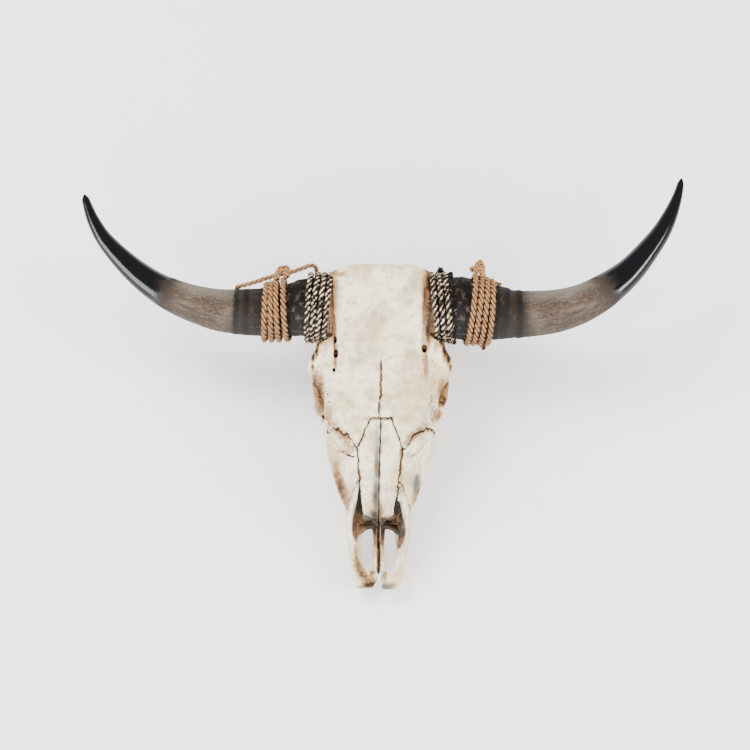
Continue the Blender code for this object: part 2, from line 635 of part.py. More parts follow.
rope("dark_cord_left", left.winding((.0840, .0940, .1040, .1140), DARK_CORD, .005, 20), DARK_CORD,
     ends(left, (CORD_BUMP, .0080)))
rope("dark_cord_right", right.winding((.0840, .0940, .1040, .1140), DARK_CORD, .006, 20), DARK_CORD)
rope("tan_rope_left", left.winding((.1415, .1510, .1606, .1702), TAN_ROPE, -.0038), TAN_ROPE,
     ends(left, (LEFT_BIGHT, TAN_ROPE), (LEFT_TAIL, TAN_ROPE), (LEFT_STRAY, .0060)))
rope("tan_rope_right", right.winding((.1496, .1615, .1711, .1807), TAN_ROPE, .003), TAN_ROPE,
     ends(right, (RIGHT_HITCH, TAN_ROPE), (RIGHT_TIE, TIE_ROPE)))

corners = [vert.co for obj in parts.objects for vert in obj.data.vertices]
middle = [(min(c[k] for c in corners) + max(c[k] for c in corners)) / 2 for k in (0, 1)]
origin = Vector((*middle, 0))  # the floor point below the middle of the whole model's box

COLOURS = {"horn": (.115, .085, .070), "dark": (.070, .060, .052), "tan": (.420, .235, .110)}
for obj in parts.objects:
    obj.data.transform(Matrix.Translation(-origin))
    paint = bpy.data.materials.new(obj.name)
    paint.use_nodes = True
    shader = paint.node_tree.nodes["Principled BSDF"]
    colour = COLOURS.get(obj.name.split("_")[0], (.690, .620, .500))
    shader.inputs["Base Color"].default_value = (*colour, 1)
    shader.inputs["Roughness"].default_value = .35 if obj.name.startswith("horn") else .75
    obj.data.materials.clear()
    obj.data.materials.append(paint)
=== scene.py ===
"""Longhorn steer's skull, dressed: weathered bone, streaked horn, rubbed dark cord and tan jute rope.

Metres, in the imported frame. The skull is worked out on axes of its own, as in the solids: x is out from its
middle plane, y runs from the muzzle to the poll and z is up from the floor. SKULL_AT shifts these to the row.
"""

import itertools
import math

import bpy
import numpy as np
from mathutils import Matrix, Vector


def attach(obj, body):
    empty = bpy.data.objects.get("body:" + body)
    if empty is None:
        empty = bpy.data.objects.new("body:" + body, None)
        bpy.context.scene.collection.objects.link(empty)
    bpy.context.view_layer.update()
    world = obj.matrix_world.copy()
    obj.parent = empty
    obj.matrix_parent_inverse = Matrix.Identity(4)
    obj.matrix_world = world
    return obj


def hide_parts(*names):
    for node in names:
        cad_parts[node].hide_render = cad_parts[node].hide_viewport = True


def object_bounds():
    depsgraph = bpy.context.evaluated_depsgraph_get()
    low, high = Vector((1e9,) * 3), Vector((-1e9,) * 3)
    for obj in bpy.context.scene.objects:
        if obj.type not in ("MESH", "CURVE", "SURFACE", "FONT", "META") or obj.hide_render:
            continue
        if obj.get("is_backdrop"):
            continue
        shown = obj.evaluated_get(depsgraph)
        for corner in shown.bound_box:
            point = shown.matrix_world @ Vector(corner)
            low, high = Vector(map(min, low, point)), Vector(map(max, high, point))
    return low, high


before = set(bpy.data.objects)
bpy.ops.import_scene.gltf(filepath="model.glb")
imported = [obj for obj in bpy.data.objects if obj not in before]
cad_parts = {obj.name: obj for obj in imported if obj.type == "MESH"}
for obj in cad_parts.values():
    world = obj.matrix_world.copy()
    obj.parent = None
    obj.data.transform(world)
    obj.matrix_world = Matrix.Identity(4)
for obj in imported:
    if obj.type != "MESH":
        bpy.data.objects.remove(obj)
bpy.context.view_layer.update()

import openvdb
from mathutils import Vector

# ---- The skull ----------------------------------------------------------------------------------------
# Dry bone of the head without its lower jaw: a roof of frontal bones from poll to nose, deep eye sockets
# with raised rims, cheek arches, tooth rows and the neck joint. Each mass of bone is a smooth distance field
# on one grid, and they run into each other as bone does. The grid is then cut into separate bones.
SKULL_AT = Vector((-0.001645, -0.048445, 0.0))
FACE_TILT = math.radians(13)  # how the forehead's plane rises towards the poll
NASION_HEIGHT = 0.146  # and how high it is at y = 0
GRAIN = 0.0011  # the grid's spacing
GRID_LOW = (0.0, -0.2600, -0.0050)  # the box of the grid, which holds the left half
GRID_HIGH = (0.1225, 0.2650, 0.2050)

# Half sections from the top middle round to the bottom middle, as (half width, height), along the skull.
STATIONS = (
    (0.236, ((0, .186), (.036, .186), (.054, .182), (.060, .166), (.056, .142),
             (.056, .110), (.046, .084), (.030, .072), (.014, .070), (0, .070))),
    (0.224, ((0, .194), (.040, .194), (.062, .190), (.070, .174), (.064, .145),
             (.066, .108), (.056, .076), (.038, .062), (.018, .060), (0, .060))),
    (0.205, ((0, .193), (.042, .193), (.064, .190), (.071, .168), (.065, .138),
             (.067, .100), (.056, .066), (.036, .052), (.016, .048), (0, .048))),
    (0.170, ((0, .1855), (.046, .186), (.066, .183), (.071, .162), (.063, .132),
             (.061, .096), (.046, .066), (.028, .050), (.014, .045), (0, .045))),
    (0.135, ((0, .1775), (.048, .178), (.067, .174), (.072, .158), (.060, .130),
             (.056, .096), (.042, .068), (.026, .054), (.014, .050), (0, .050))),
    (0.1255, ((0, .175), (.050, .176), (.073, .170), (.079, .157), (.064, .128),
              (.055, .094), (.040, .068), (.025, .056), (.013, .052), (0, .052))),
    (0.118, ((0, .1735), (.054, .1745), (.088, .164), (.092, .153), (.064, .126),
             (.054, .093), (.039, .068), (.025, .057), (.012, .054), (0, .054))),
    (0.104, ((0, .1705), (.056, .1715), (.098, .158), (.094, .149), (.062, .124),
             (.052, .092), (.038, .069), (.025, .059), (.012, .056), (0, .056))),
    (0.082, ((0, .1655), (.060, .166), (.108, .149), (.102, .139), (.060, .116),
             (.047, .090), (.034, .072), (.024, .062), (.012, .060), (0, .060))),
    (0.048, ((0, .1575), (.060, .158), (.095, .146), (.088, .136), (.060, .112),
             (.052, .086), (.044, .062), (.032, .050), (.016, .054), (0, .058))),
    (0.018, ((0, .1505), (.056, .150), (.080, .137), (.082, .118), (.081, .092),
             (.077, .056), (.072, .023), (.050, .022), (.026, .036), (0, .038))),
    (-0.015, ((0, .1415), (.042, .142), (.067, .128), (.078, .103), (.083, .076),
              (.078, .046), (.073, .023), (.050, .021), (.026, .034), (0, .036))),
    (-0.050, ((0, .133), (.033, .132), (.057, .115), (.073, .090), (.081, .066),
              (.076, .044), (.067, .023), (.046, .021), (.024, .033), (0, .035))),
    (-0.085, ((0, .125), (.030, .1235), (.046, .108), (.062, .084), (.072, .060),
              (.066, .040), (.056, .024), (.038, .022), (.020, .031), (0, .033))),
    (-0.112, ((0, .119), (.028, .1175), (.038, .102), (.051, .079), (.061, .057),
              (.057, .042), (.045, .031), (.028, .027), (.014, .029), (0, .030))),
    (-0.121, ((0, .108), (.020, .106), (.034, .098), (.048, .076), (.056, .056),
              (.053, .042), (.043, .032), (.028, .028), (.014, .029), (0, .030))),
    (-0.128, ((0, .042), (.012, .042), (.026, .044), (.043, .056), (.053, .054),
              (.051, .042), (.041, .033), (.027, .028), (.014, .029), (0, .030))),
    (-0.148, ((0, .040), (.010, .040), (.024, .041), (.038, .045), (.048, .046),
              (.048, .041), (.040, .033), (.027, .029), (.014, .029), (0, .030))),
)
# The nasal bones' free roof: place along the skull, half width, height of its middle.
NASAL_ROOF = ((-0.060, 0.033, 0.1300), (-0.085, 0.031, 0.1262), (-0.112, 0.0285, 0.1195),
              (-0.132, 0.0260, 0.1145), (-0.149, 0.0228, 0.1100), (-0.160, 0.0212, 0.1070),
              (-0.172, 0.0195, 0.1035))
# Its half section, from the top middle round the edge to the underside: share of the half width, drop.
ROOF_EDGE = ((0, 0), (.55, .0012), (.88, .0055), (1, .0110),
             (.93, .0150), (.76, .0115), (.50, .0072), (0, .0058))
PREMAXILLA = (  # one side's arm and body: place along the skull, then its section
    (-0.098, ((.032, .108), (.039, .104), (.045, .090), (.041, .084), (.035, .092), (.031, .102))),
    (-0.120, ((.038, .099), (.043, .094), (.051, .070), (.047, .060), (.042, .072), (.036, .090))),
    (-0.145, ((.044, .077), (.048, .072), (.052, .052), (.045, .038), (.030, .033), (.037, .054))),
    (-0.180, ((.042, .053), (.047, .048), (.048, .036), (.038, .027), (.025, .028), (.033, .043))),
    (-0.210, ((.034, .041), (.042, .037), (.043, .028), (.033, .021), (.020, .022), (.025, .036))),
    (-0.230, ((.015, .038), (.036, .037), (.042, .030), (.034, .021), (.0060, .021), (.0035, .032))),
    (-0.242, ((.015, .036), (.033, .035), (.0415, .030), (.034, .022), (.0090, .022), (.0065, .030))),
    (-0.2480, ((.0165, .034), (.033, .033), (.0390, .029), (.032, .025), (.0115, .024), (.0095, .0295))),
)
FISSURE = (.0186, -.190, .0094, .0325)  # gap beside each rod of the palate: out, along, half sizes
NASAL_CAVITY = (
    (-0.190, ((0, .120), (.022, .112), (.036, .096), (.043, .070), (.034, .050), (.022, .040), (0, .040))),
    (-0.135, ((0, .106), (.020, .103), (.031, .092), (.040, .070), (.040, .052), (.026, .041), (0, .040))),
    (-0.100, ((0, .113), (.018, .110), (.028, .095), (.036, .074), (.034, .054), (.020, .042), (0, .041))),
    (-0.065, ((0, .104), (.010, .102), (.018, .090), (.022, .072), (.018, .056), (.010, .050), (0, .049))),
)
# Masses on each side: how softly each melts into its neighbours, then its run of (out, along, up, radius).
LIMBS = {
    "eye_socket_rim": (.006,
     ((.107, .082, .143, .0075), (.1055, .088, .128, .0065), (.1030, .087, .108, .0065),
      (.1000, .076, .091, .0080), (.0990, .056, .083, .0085), (.0950, .036, .083, .0080),
      (.0865, .019, .090, .0080), (.0850, .011, .106, .0078), (.0830, .014, .124, .0075),
      (.0815, .028, .138, .0070), (.0875, .046, .147, .0065), (.0970, .066, .149, .0065),
      (.107, .082, .143, .0075))),
    "cheek_arch": (.006, ((.099, .070, .084, .0090), (.100, .100, .084, .0070), (.095, .132, .084, .0075),
                          (.085, .160, .078, .0100), (.064, .190, .078, .0120))),
    "facial_crest": (.010, ((.0890, .022, .082, .0070), (.0770, -.006, .074, .0080),
                            (.0740, -.040, .067, .0085))),
    "temporal_line": (.006, ((.107, .080, .146, .0065), (.098, .101, .155, .0055),
                             (.078, .112, .161, .0060))),
    "horn_root": (.012, ((.045, .1785, .1450, .0400), (.072, .1785, .1445, .0435),
                         (.080, .1785, .1440, .0465), (.130, .1785, .1440, .0465))),
    "ear_tube": (.005, ((.056, .188, .086, .0110), (.068, .194, .084, .0070))),
    "jugular_spur": (.006, ((.056, .216, .070, .0130), (.058, .214, .036, .0085),
                            (.057, .209, .0045, .0060))),
    "pterygoid": (.004, ((.026, .022, .040, .0050), (.025, .060, .042, .0045), (.024, .092, .042, .0045),
                         (.020, .124, .056, .0060))),
    "pterygoid_root": (.004, ((.028, .030, .056, .0050), (.026, .070, .058, .0050),
                              (.023, .110, .058, .0060))),
    "pterygoid_hook": (.003, ((.024, .086, .042, .0042), (.022, .098, .026, .0028))),
    "skull_floor": (.008, ((.005, .130, .058, .0120), (.008, .222, .056, .0140))),
    "neck_joint": (.005, ((.012, .226, .038, .0130), (.027, .232, .048, .0150), (.031, .231, .064, .0120),
                          (.026, .226, .080, .0070))),
    "palatine_rod": (.002, ((.0054, -.221, .030, .0040), (.0062, -.185, .033, .0038),
                            (.0070, -.125, .038, .0045))),
    "palate_edge": (.004, ((.034, -.160, .038, .0070), (.010, -.148, .036, .0060))),
    "back_of_jaw": (.006, ((.066, .034, .040, .0120), (.062, .048, .058, .0110), (.058, .054, .078, .0100))),
    "poll": (.006, ((.000, .226, .189, .0100), (.036, .226, .1885, .0100), (.056, .2235, .185, .0098),
                    (.0690, .2195, .181, .0095), (.0735, .208, .176, .0090))),
    "rod_web": (.002, ((0, -.224, .0240, .0032), (0, -.128, .0290, .0045))),
}
ODD_LIMBS = {  # on one side only, with the right side below zero
    "right_tear_bone": (.005, ((-.0960, .036, .100, .0095), (-.0975, .022, .104, .0100),
                               (-.0900, .008, .106, .0090))),
    "left_muzzle_tip": (.003, ((.0052, -.2470, .0295, .0052), (.0270, -.2435, .0290, .0050))),
    "left_nose_wall": (.006, ((.0345, -.118, .094, .0045), (.0365, -.132, .083, .0060),
                              (.0365, -.148, .070, .0065), (.0345, -.166, .056, .0060),
                              (.0320, -.185, .044, .0045))),
}
LUMPS = {  # how softly each melts in, then its centre and its radii
    "brow": (.010, (.083, .085, .147), (.024, .032, .012)),
    "mastoid": (.006, (.058, .208, .084), (.016, .020, .024)),
    "ear_bulb": (.004, (.038, .176, .052), (.012, .020, .017)),
}
# Cheek teeth, from the back molar forwards: (out, along), width and length of each crown.
TEETH = (
    (.0610, .0210, .0210, .0270), (.0620, -.0050, .0220, .0250), (.0600, -.0295, .0210, .0235),
    (.0560, -.0505, .0190, .0180), (.0510, -.0685, .0170, .0175), (.0460, -.0860, .0140, .0165),
)
CROWN_TOP = 0.034
LOBE = 0.56  # size of each of a crown's two lobes, as a share of its length
BITE_FLARE = 0.0022  # how much wider the crown is at the bite
# Hollows, each with its centre and its radii.
EYE_SOCKET = ((.108, .048, .116), (.048, .0300, .0295))
TEMPLE = ((.106, .128, .118), (.041, .0360, .0340))
CHOANA = ((0, .075, .046), (.019, .044, .020))
HORN_JOINT = 0.0899  # how far out the bone ends and the horn's sheath starts
CORD_SEAT = (.0777, .1785, .1440, .0466, .0572)  # room for the first turns of cord: out, along, up, radii
CORD_LEAN = math.radians(5.6)
FLOOR_GAP = 0.0002  # the bone ends this little above the floor
# Holes for nerves and the spinal cord: runs of (out, along, up, radius).
HOLES = {
    "foramen_magnum": ((0, .262, .064, .0180), (0, .195, .070, .0160)),
    "infraorbital": ((.066, -.105, .062, .0050), (.050, -.075, .064, .0045)),
}


def spline(points, steps, closed=False):
    """Points on a smooth curve through the given ones, with so many steps to each stretch."""
    last = len(points) - 1
    found = []
    for i in range(last + closed):
        if closed:
            a, b, c, d = (points[(i + ahead) % (last + 1)] for ahead in (-1, 0, 1, 2))
        else:
            a, b, c, d = (points[min(max(i + ahead, 0), last)] for ahead in (-1, 0, 1, 2))
        for k in range(steps):
            t = k / steps
            bend = (a * 2 - b * 5 + c * 4 - d) * t**2 + (b * 3 - a - c * 3 + d) * t**3
            found.append((b * 2 + (c - a) * t + bend) / 2)
    return found if closed else found + [points[-1]]


def both_sides(half):
    """A whole ring from a half section that starts and ends on the middle plane."""
    return list(half) + [(-x, z) for x, z in reversed(half[1:-1])]


def loft_skin(stations, steps_round=4, steps_along=6):
    """Corners and triangles of a smooth closed body through rings of (place along y, [(x, z), ...])."""
    rings = [spline([Vector((x, y, z)) for x, z in ring], steps_round, closed=True) for y, ring in stations]
    runs = [spline([ring[i] for ring in rings], steps_along) for i in range(len(rings[0]))]
    around, along = len(runs), len(runs[0])
    points = [run[k] for k in range(along) for run in runs]
    faces = []
    for k in range(along - 1):
        for i in range(around):
            j = (i + 1) % around
            a, b, c, d = k * around + i, k * around + j, (k + 1) * around + j, (k + 1) * around + i
            faces += [(a, b, c), (a, c, d)]
    for k in (0, along - 1):
        hub = len(points)
        points.append(sum(points[k * around:(k + 1) * around], Vector()) / around)
        faces += [(hub, k * around + i, k * around + (i + 1) % around) for i in range(around)]
    return np.array(points, np.float32), np.array(faces, np.uint32)


grid_shape = tuple(round((high - low) / GRAIN) + 1 for low, high in zip(GRID_LOW, GRID_HIGH))
grid_index = tuple(round(low / GRAIN) for low in GRID_LOW)


def loft_field(stations, band=14):
    """Distance to the loft, negative inside, on the left half's grid and up to a band of its steps away."""
    points, faces = loft_skin(stations)
    grid = openvdb.FloatGrid.createLevelSetFromPolygons(
        points, triangles=faces, transform=openvdb.createLinearTransform(voxelSize=GRAIN), halfWidth=band)
    field = np.empty(grid_shape, np.float32)
    grid.copyToArray(field, ijk=grid_index)
    return field


def grid_axes(field):
    """The x, y and z of a grid, of the left half or of the whole head, each along its own direction."""
    lows = (GRAIN * (grid_shape[0] - field.shape[0]), *(GRAIN * k for k in grid_index[1:]))
    axes = [low + GRAIN * np.arange(count, dtype=np.float32) for low, count in zip(lows, field.shape)]
    return [axis.reshape([-1 if i == k else 1 for i in range(3)]) for k, axis in enumerate(axes)]


def near(field, low, high):
    """The part of the grid inside a box, and its x, y and z there."""
    cut, axes = [], []
    for k, axis in enumerate(grid_axes(field)):
        first, last = np.searchsorted(axis.ravel(), (low[k], high[k]))
        cut.append(slice(first, last))
        axes.append(axis[tuple(cut[k] if i == k else slice(None) for i in range(3))])
    return tuple(cut), axes


def limb_field(run, x, y, z):
    """Distance to a run of balls joined by cones."""
    found = None
    for (ax, ay, az, ar), (bx, by, bz, br) in zip(run, run[1:]):
        dx, dy, dz = bx - ax, by - ay, bz - az
        t = np.clip(((x - ax) * dx + (y - ay) * dy + (z - az) * dz) / (dx * dx + dy * dy + dz * dz), 0, 1)
        away = np.sqrt((x - ax - t * dx)**2 + (y - ay - t * dy)**2 + (z - az - t * dz)**2)
        reach = away - ar - t * (br - ar)
        found = reach if found is None else np.minimum(found, reach)
    return found


def lump_field(centre, radii, x, y, z):
    """Distance to an ellipsoid, near enough."""
    p = [(v - c) / r for v, c, r in zip((x, y, z), centre, radii)]
    q = [a / r for a, r in zip(p, radii)]
    k0 = np.sqrt(p[0]**2 + p[1]**2 + p[2]**2)
    k1 = np.sqrt(q[0]**2 + q[1]**2 + q[2]**2) + 1e-9
    return k0 * (k0 - 1) / k1


def melt(a, b, soft):
    """The smaller of two distances, with the corner between them filled."""
    h = np.maximum(soft - np.abs(a - b), 0) / soft
    return np.minimum(a, b) - h * h * soft / 4


def cut_away(a, b, soft):
    """What is left of a outside b, with the edge rounded."""
    return -melt(-a, b, soft)


def mould(field, soft, *shape, hollow=False):
    """Adds a run of balls or one lump (centre, radii) to the field, or hollows it out."""
    if len(shape[0]) == 4:
        low = [min(p[k] - p[3] for p in shape) for k in range(3)]
        high = [max(p[k] + p[3] for p in shape) for k in range(3)]
    else:
        low, high = np.subtract(*shape), np.add(*shape)
    cut, axes = near(field, np.subtract(low, soft + .003), np.add(high, soft + .003))
    mass = limb_field(shape, *axes) if len(shape[0]) == 4 else lump_field(*shape, *axes)
    field[cut] = cut_away(field[cut], mass, soft) if hollow else melt(field[cut], mass, soft)


def half_head():
    """On the left half's grid: the bare skull as it is on both sides, its sockets and its nostrils."""
    field = loft_field([(y, both_sides(half)) for y, half in STATIONS])
    sockets = np.full_like(field, .02)
    for soft, *lump in ((.003, *EYE_SOCKET), (.004, *TEMPLE), (.003, *CHOANA)):
        mould(sockets, soft, *lump)
        mould(field, soft, *lump, hollow=True)
    nostrils = loft_field([(y, both_sides(half)) for y, half in NASAL_CAVITY])
    field = cut_away(field, nostrils, .002)
    roof = []
    for y, width, top in NASAL_ROOF:
        roof.append((y, both_sides([(share * width, top - drop) for share, drop in ROOF_EDGE])))
    field = melt(field, loft_field(roof), .002)
    field = melt(field, loft_field(PREMAXILLA), .004)
    for soft, run in LIMBS.values():
        mould(field, soft, *run)
    for soft, *lump in LUMPS.values():
        mould(field, soft, *lump)
    mould(field, .003, *CHOANA, hollow=True)
    for run in HOLES.values():
        mould(field, .002, *run, hollow=True)
    # Each crown has two lobes, a pillar on its outer side and a dished bite.
    for out, along, width, length in TEETH:
        low, high = (out - width, along - length, -.003), (out + width, along + length, CROWN_TOP + .014)
        cut, (x, y, z) = near(field, low, high)
        crown = None
        for lobe in (-.25, .25):
            reach = np.sqrt(((x - out) / width)**2 + ((y - along - lobe * length) / (LOBE * length))**2)
            column = (reach - .5) * LOBE * length
            crown = column if crown is None else melt(crown, column, .0012)
        crown = melt(crown, np.sqrt((x - out - .47 * width)**2 + (y - along)**2) - .0016, .001)
        crown = crown + .0016 - BITE_FLARE * np.clip(1 - z / .022, 0, 1)
        dish = np.sqrt(((x - out) / (.24 * width))**2 + ((y - along) / (.36 * length))**2) - 1
        crown = np.maximum(crown, -np.maximum(dish * .004, z - .0024))
        field[cut] = melt(field[cut], np.maximum(crown, z - CROWN_TOP - .008), .0016)
    # The slits of the palate, the room for the cord, and nothing beyond the horn's joint.
    x, y, z = grid_axes(field)
    out, along, wide, long = FISSURE
    slot = ((np.abs((x - out) / wide)**3 + np.abs((y - along) / long)**3)**(1 / 3) - 1) * wide
    field = cut_away(field, np.maximum(slot, z - .052), .0025)
    reach = np.hypot(y - CORD_SEAT[1], z - CORD_SEAT[2])
    face = CORD_SEAT[0] - (y - CORD_SEAT[1]) * math.tan(CORD_LEAN) - x
    field = np.maximum(field, -np.maximum(face, np.maximum(reach - CORD_SEAT[4], CORD_SEAT[3] - reach)))
    return np.maximum(field, np.minimum(x - HORN_JOINT, np.minimum(y - .124, z - .090))), sockets, nostrils


def step(value, low, high):
    """Rises smoothly from 0 at low to 1 at high."""
    t = np.clip((value - low) / (high - low), 0, 1)
    return t * t * (3 - 2 * t)


def muzzle_bend(y):
    """How far out the face's middle line lies: the muzzle is bent a little to the right."""
    return -.0034 * step(-y, -.02, .12)


def both_halves(half):
    """The whole head from its left half, bent and slimmed a little towards the muzzle."""
    whole = np.concatenate((half[:0:-1], half))
    x, y, _ = (axis.ravel() for axis in grid_axes(whole))
    for k in range(len(y)):
        shift = muzzle_bend(y[k])
        if shift < 0:
            place = np.clip(((x - shift) * (1 - 8 * shift) - x[0]) / GRAIN, 0, len(x) - 1.001)
            first = place.astype(int)
            t = (place - first).astype(np.float32)[:, None]
            whole[:, k] = whole[first, k] * (1 - t) + whole[first + 1, k] * t
    return whole


def hills(shape, size, seed):
    """Smooth random hills and dips between -1 and 1 on the whole grid, about this far apart."""
    counts = [int(count * GRAIN / size) + 3 for count in shape]
    made = np.random.default_rng(seed).uniform(-1, 1, counts).astype(np.float32)
    for axis, (count, coarse) in enumerate(zip(shape, counts)):
        place = np.arange(count) * GRAIN / size
        first = place.astype(int)
        t = place - first
        t = t * t * (3 - 2 * t)
        spread = np.zeros((count, coarse), np.float32)
        spread[np.arange(count), first] = 1 - t
        spread[np.arange(count), first + 1] = t
        made = np.moveaxis(np.tensordot(spread, made, (1, axis)), 0, axis)
    return np.ascontiguousarray(made)


def on_face(out, along, lift=0.0):
    """A point given as seen square on to the forehead, and its lift above that plane."""
    c, s = math.cos(FACE_TILT), math.sin(FACE_TILT)
    return Vector((out, along * c - lift * s, NASION_HEIGHT + along * s + lift * c))


def as_faced(y, z):
    """Places along and above the forehead's plane."""
    c, s = math.cos(FACE_TILT), math.sin(FACE_TILT)
    return y * c + (z - NASION_HEIGHT) * s, (z - NASION_HEIGHT) * c - y * s


def lie_on(field, out, along):
    """How far above the forehead's plane the bone's surface lies at this place."""
    lows = [axis.flat[0] for axis in grid_axes(field)]
    lowest = -.11
    for lift in np.arange(.03, lowest, -.0006):
        place = [round((value - low) / GRAIN) for value, low in zip(on_face(out, along, lift), lows)]
        place = tuple(min(k, count - 1) for k, count in zip(place, field.shape))
        if field[place] < 0:
            return lift
    return lowest


def score(field, run, radius, depth, jag, seed):
    """Wears a groove into the surface along a run of (out, along), fading at both ends."""
    rng = np.random.default_rng(seed)
    line = spline([Vector(p) for p in run], 7)
    lifts = np.array([lie_on(field, *place) for place in line])
    lifts = np.convolve(np.pad(lifts, 2, "edge"), np.ones(5) / 5, "valid")
    points = []
    for k, (place, lift) in enumerate(zip(line, lifts)):
        fade = min(1, .35 + k / 6, .35 + (len(line) - 1 - k) / 6)
        wide = radius * fade * (1 + jag * 300 * rng.uniform(-1, 1))
        out, along = place.x + rng.normal(0, 1) * jag, place.y
        points.append((*on_face(out, along, lift + wide - depth * fade), wide))
    for pair in zip(points, points[1:]):
        mould(field, .0012 + .6 * radius, *pair, hollow=True)


def prick(field, run, spread, sizes, count, seed):
    """Small pits strewn along a run of (out, along)."""
    rng = np.random.default_rng(seed)
    places = spline([Vector(p) for p in run], 8)
    for _ in range(count):
        out, along = places[rng.integers(len(places))] + Vector(rng.normal(0, spread, 2))
        radius = rng.uniform(*sizes)
        lift = lie_on(field, out, along) + .1 * radius
        stretch = rng.uniform(.8, 1.5, 3)
        mould(field, .0008, tuple(on_face(out, along, lift)), tuple(radius * stretch), hollow=True)


head, sockets, nostrils = (both_halves(half) for half in half_head())
for soft, run in ODD_LIMBS.values():
    mould(head, soft, *run)
# The tear bone that fills the right socket's corner is free of the socket's stain.
tear_bone = [(*place[:3], place[3] + .0055) for place in ODD_LIMBS["right_tear_bone"][1]]
mould(sockets, .003, *tear_bone, hollow=True)
# The nasal bones' free ends: (out, along the face), from the right edge to the left.
NOSE_END = ((-.0300, -.1500), (-.0238, -.1540), (-.0150, -.1585), (-.0093, -.1625), (-.0060, -.1600),
            (-.0036, -.1565), (.0000, -.1640), (.0030, -.1655), (.0055, -.1600), (.0120, -.1560),
            (.0178, -.1515), (.0260, -.1480))
# The wedges open between nose and cheeks: out, where each starts and is fully open, half width there.
NOSE_NOTCHES = ((-.0338, -.1085, -.137, .0050), (.0240, -.1225, -.140, .0042))
x, y, z = head_axes = grid_axes(head)
face_along, face_lift = as_faced(y, z)
ends = np.interp(x, *zip(*NOSE_END))
head = cut_away(head, np.maximum(np.maximum(face_along - ends, -.034 - face_lift), np.abs(x) - .031), .0012)
for out, start, full, wide in NOSE_NOTCHES:
    opened = wide * np.clip((start - face_along) / (start - full), -.4, 1)
    head = cut_away(head, np.maximum(np.abs(x - out) - opened, -.036 - face_lift), .0008)
# Grooves, not the same on both sides: of the brow's vessels, the seam between the frontal bones, and the
# cheeks' seams.
for run, radius, depth, jag in (
        (((-.0775, .200), (-.0762, .165), (-.0715, .128), (-.0700, .104), (-.0722, .086), (-.0730, .072)),
         .0030, .0022, .0001),
        (((.0715, .200), (.0700, .165), (.0684, .128), (.0680, .108), (.0700, .084), (.0708, .060)),
         .0044, .0022, .0001),
        (((-.0006, .096), (-.0002, .078), (.0006, .064), (-.0002, .052), (.0004, .036), (-.0020, .032),
          (-.0030, .018), (-.0022, .003)), .0011, .0022, .0006),
        (((-.094, .012), (-.078, -.030), (-.058, -.054), (-.040, -.060)), .0012, .0008, .0006),
        (((.090, .010), (.076, -.030), (.054, -.056), (.034, -.064)), .0012, .0007, .0006)):
    score(head, run, radius, depth, jag, seed=len(run))
# The brow's nerve holes in the grooves, each with a dished mouth.
for out, along, wide, long in ((-.0702, .1005, .0034, .0066), (.0676, .1085, .0042, .0058),
                               (-.0708, .1225, .0020, .0052), (-.0732, .0755, .0016, .0026)):
    lift = lie_on(head, out, along)
    start, end = on_face(out, along + .002, lift + .004), on_face(out, along - .006, lift - .014)
    mould(head, .0015, (*start, wide * .7), (*end, wide * .6), hollow=True)
    mould(head, .0020, tuple(on_face(out, along, lift - .001)), (wide, long, .006), hollow=True)
PITTED = (  # where small pits are strewn: along a run, how wide, their sizes, how many
    (((-.090, .030), (-.084, .032), (-.078, .024)), .005, (.0006, .0014), 26),
    (((-.070, -.020), (-.058, -.024), (-.044, -.040)), .0035, (.0006, .0014), 26),
    (((-.078, -.032), (-.058, -.054), (-.042, -.060)), .0014, (.0007, .0014), 26),
    (((.080, .030), (.088, .016), (.070, -.004), (.052, -.026)), .0035, (.0006, .0012), 26),
    (((.052, -.057), (.034, -.064), (.030, -.100)), .0018, (.0006, .0012), 20),
    (((-.016, -.152), (-.004, -.148), (.006, -.152)), .005, (.0006, .0013), 24),
    (((-.034, -.108), (-.030, -.116), (.029, -.110)), .002, (.0007, .0013), 14),
    (((-.062, .170), (.060, .190)), .030, (.0005, .0009), 16),
)
for seed, (run, spread, sizes, count) in enumerate(PITTED, 1):
    prick(head, run, spread, sizes, count, seed)
BROKEN = (  # crumbled edges of the face: out, along, how far above the surface the scoop is, its radii
    (-.080, -.078, .004, (.010, .012, .010)), (-.072, -.104, .005, (.010, .016, .012)),
    (-.067, -.128, .007, (.007, .009, .010)), (-.094, .010, .003, (.007, .009, .006)),
    (.092, .004, .003, (.007, .009, .006)), (-.088, -.006, .003, (.006, .008, .006)),
)
for out, along, above, radii in BROKEN:
    place = on_face(out, along, lie_on(head, out, along) + above)
    mould(head, .003, tuple(place), radii, hollow=True)
# Uneven all over, from broad swellings down to fine wear.
for size, depth, seed in ((.030, .0009, 11), (.012, .0005, 12), (.0055, .00028, 13), (.0030, .00014, 14)):
    head += depth * hills(head.shape, size, seed)
# Rougher along the outer edges of the face, a little more so on the left.
rough = .405 * np.exp(-((x + .095) / .014)**2) + .474 * np.exp(-((x - .086) / .012)**2)
head += .0016 * rough * hills(head.shape, .0042, 15)
head = np.maximum(head, FLOOR_GAP - z)


def blurred(values, reach):
    """Each place's average over a cube around it."""
    for axis in range(3):
        margin = [(reach + 1, reach) if k == axis else (0, 0) for k in range(3)]
        total = np.moveaxis(np.cumsum(np.pad(values, margin, "edge"), axis, dtype=np.float32), axis, 0)
        values = np.moveaxis((total[2 * reach + 1:] - total[:-2 * reach - 1]) / (2 * reach + 1), 0, axis)
    return values


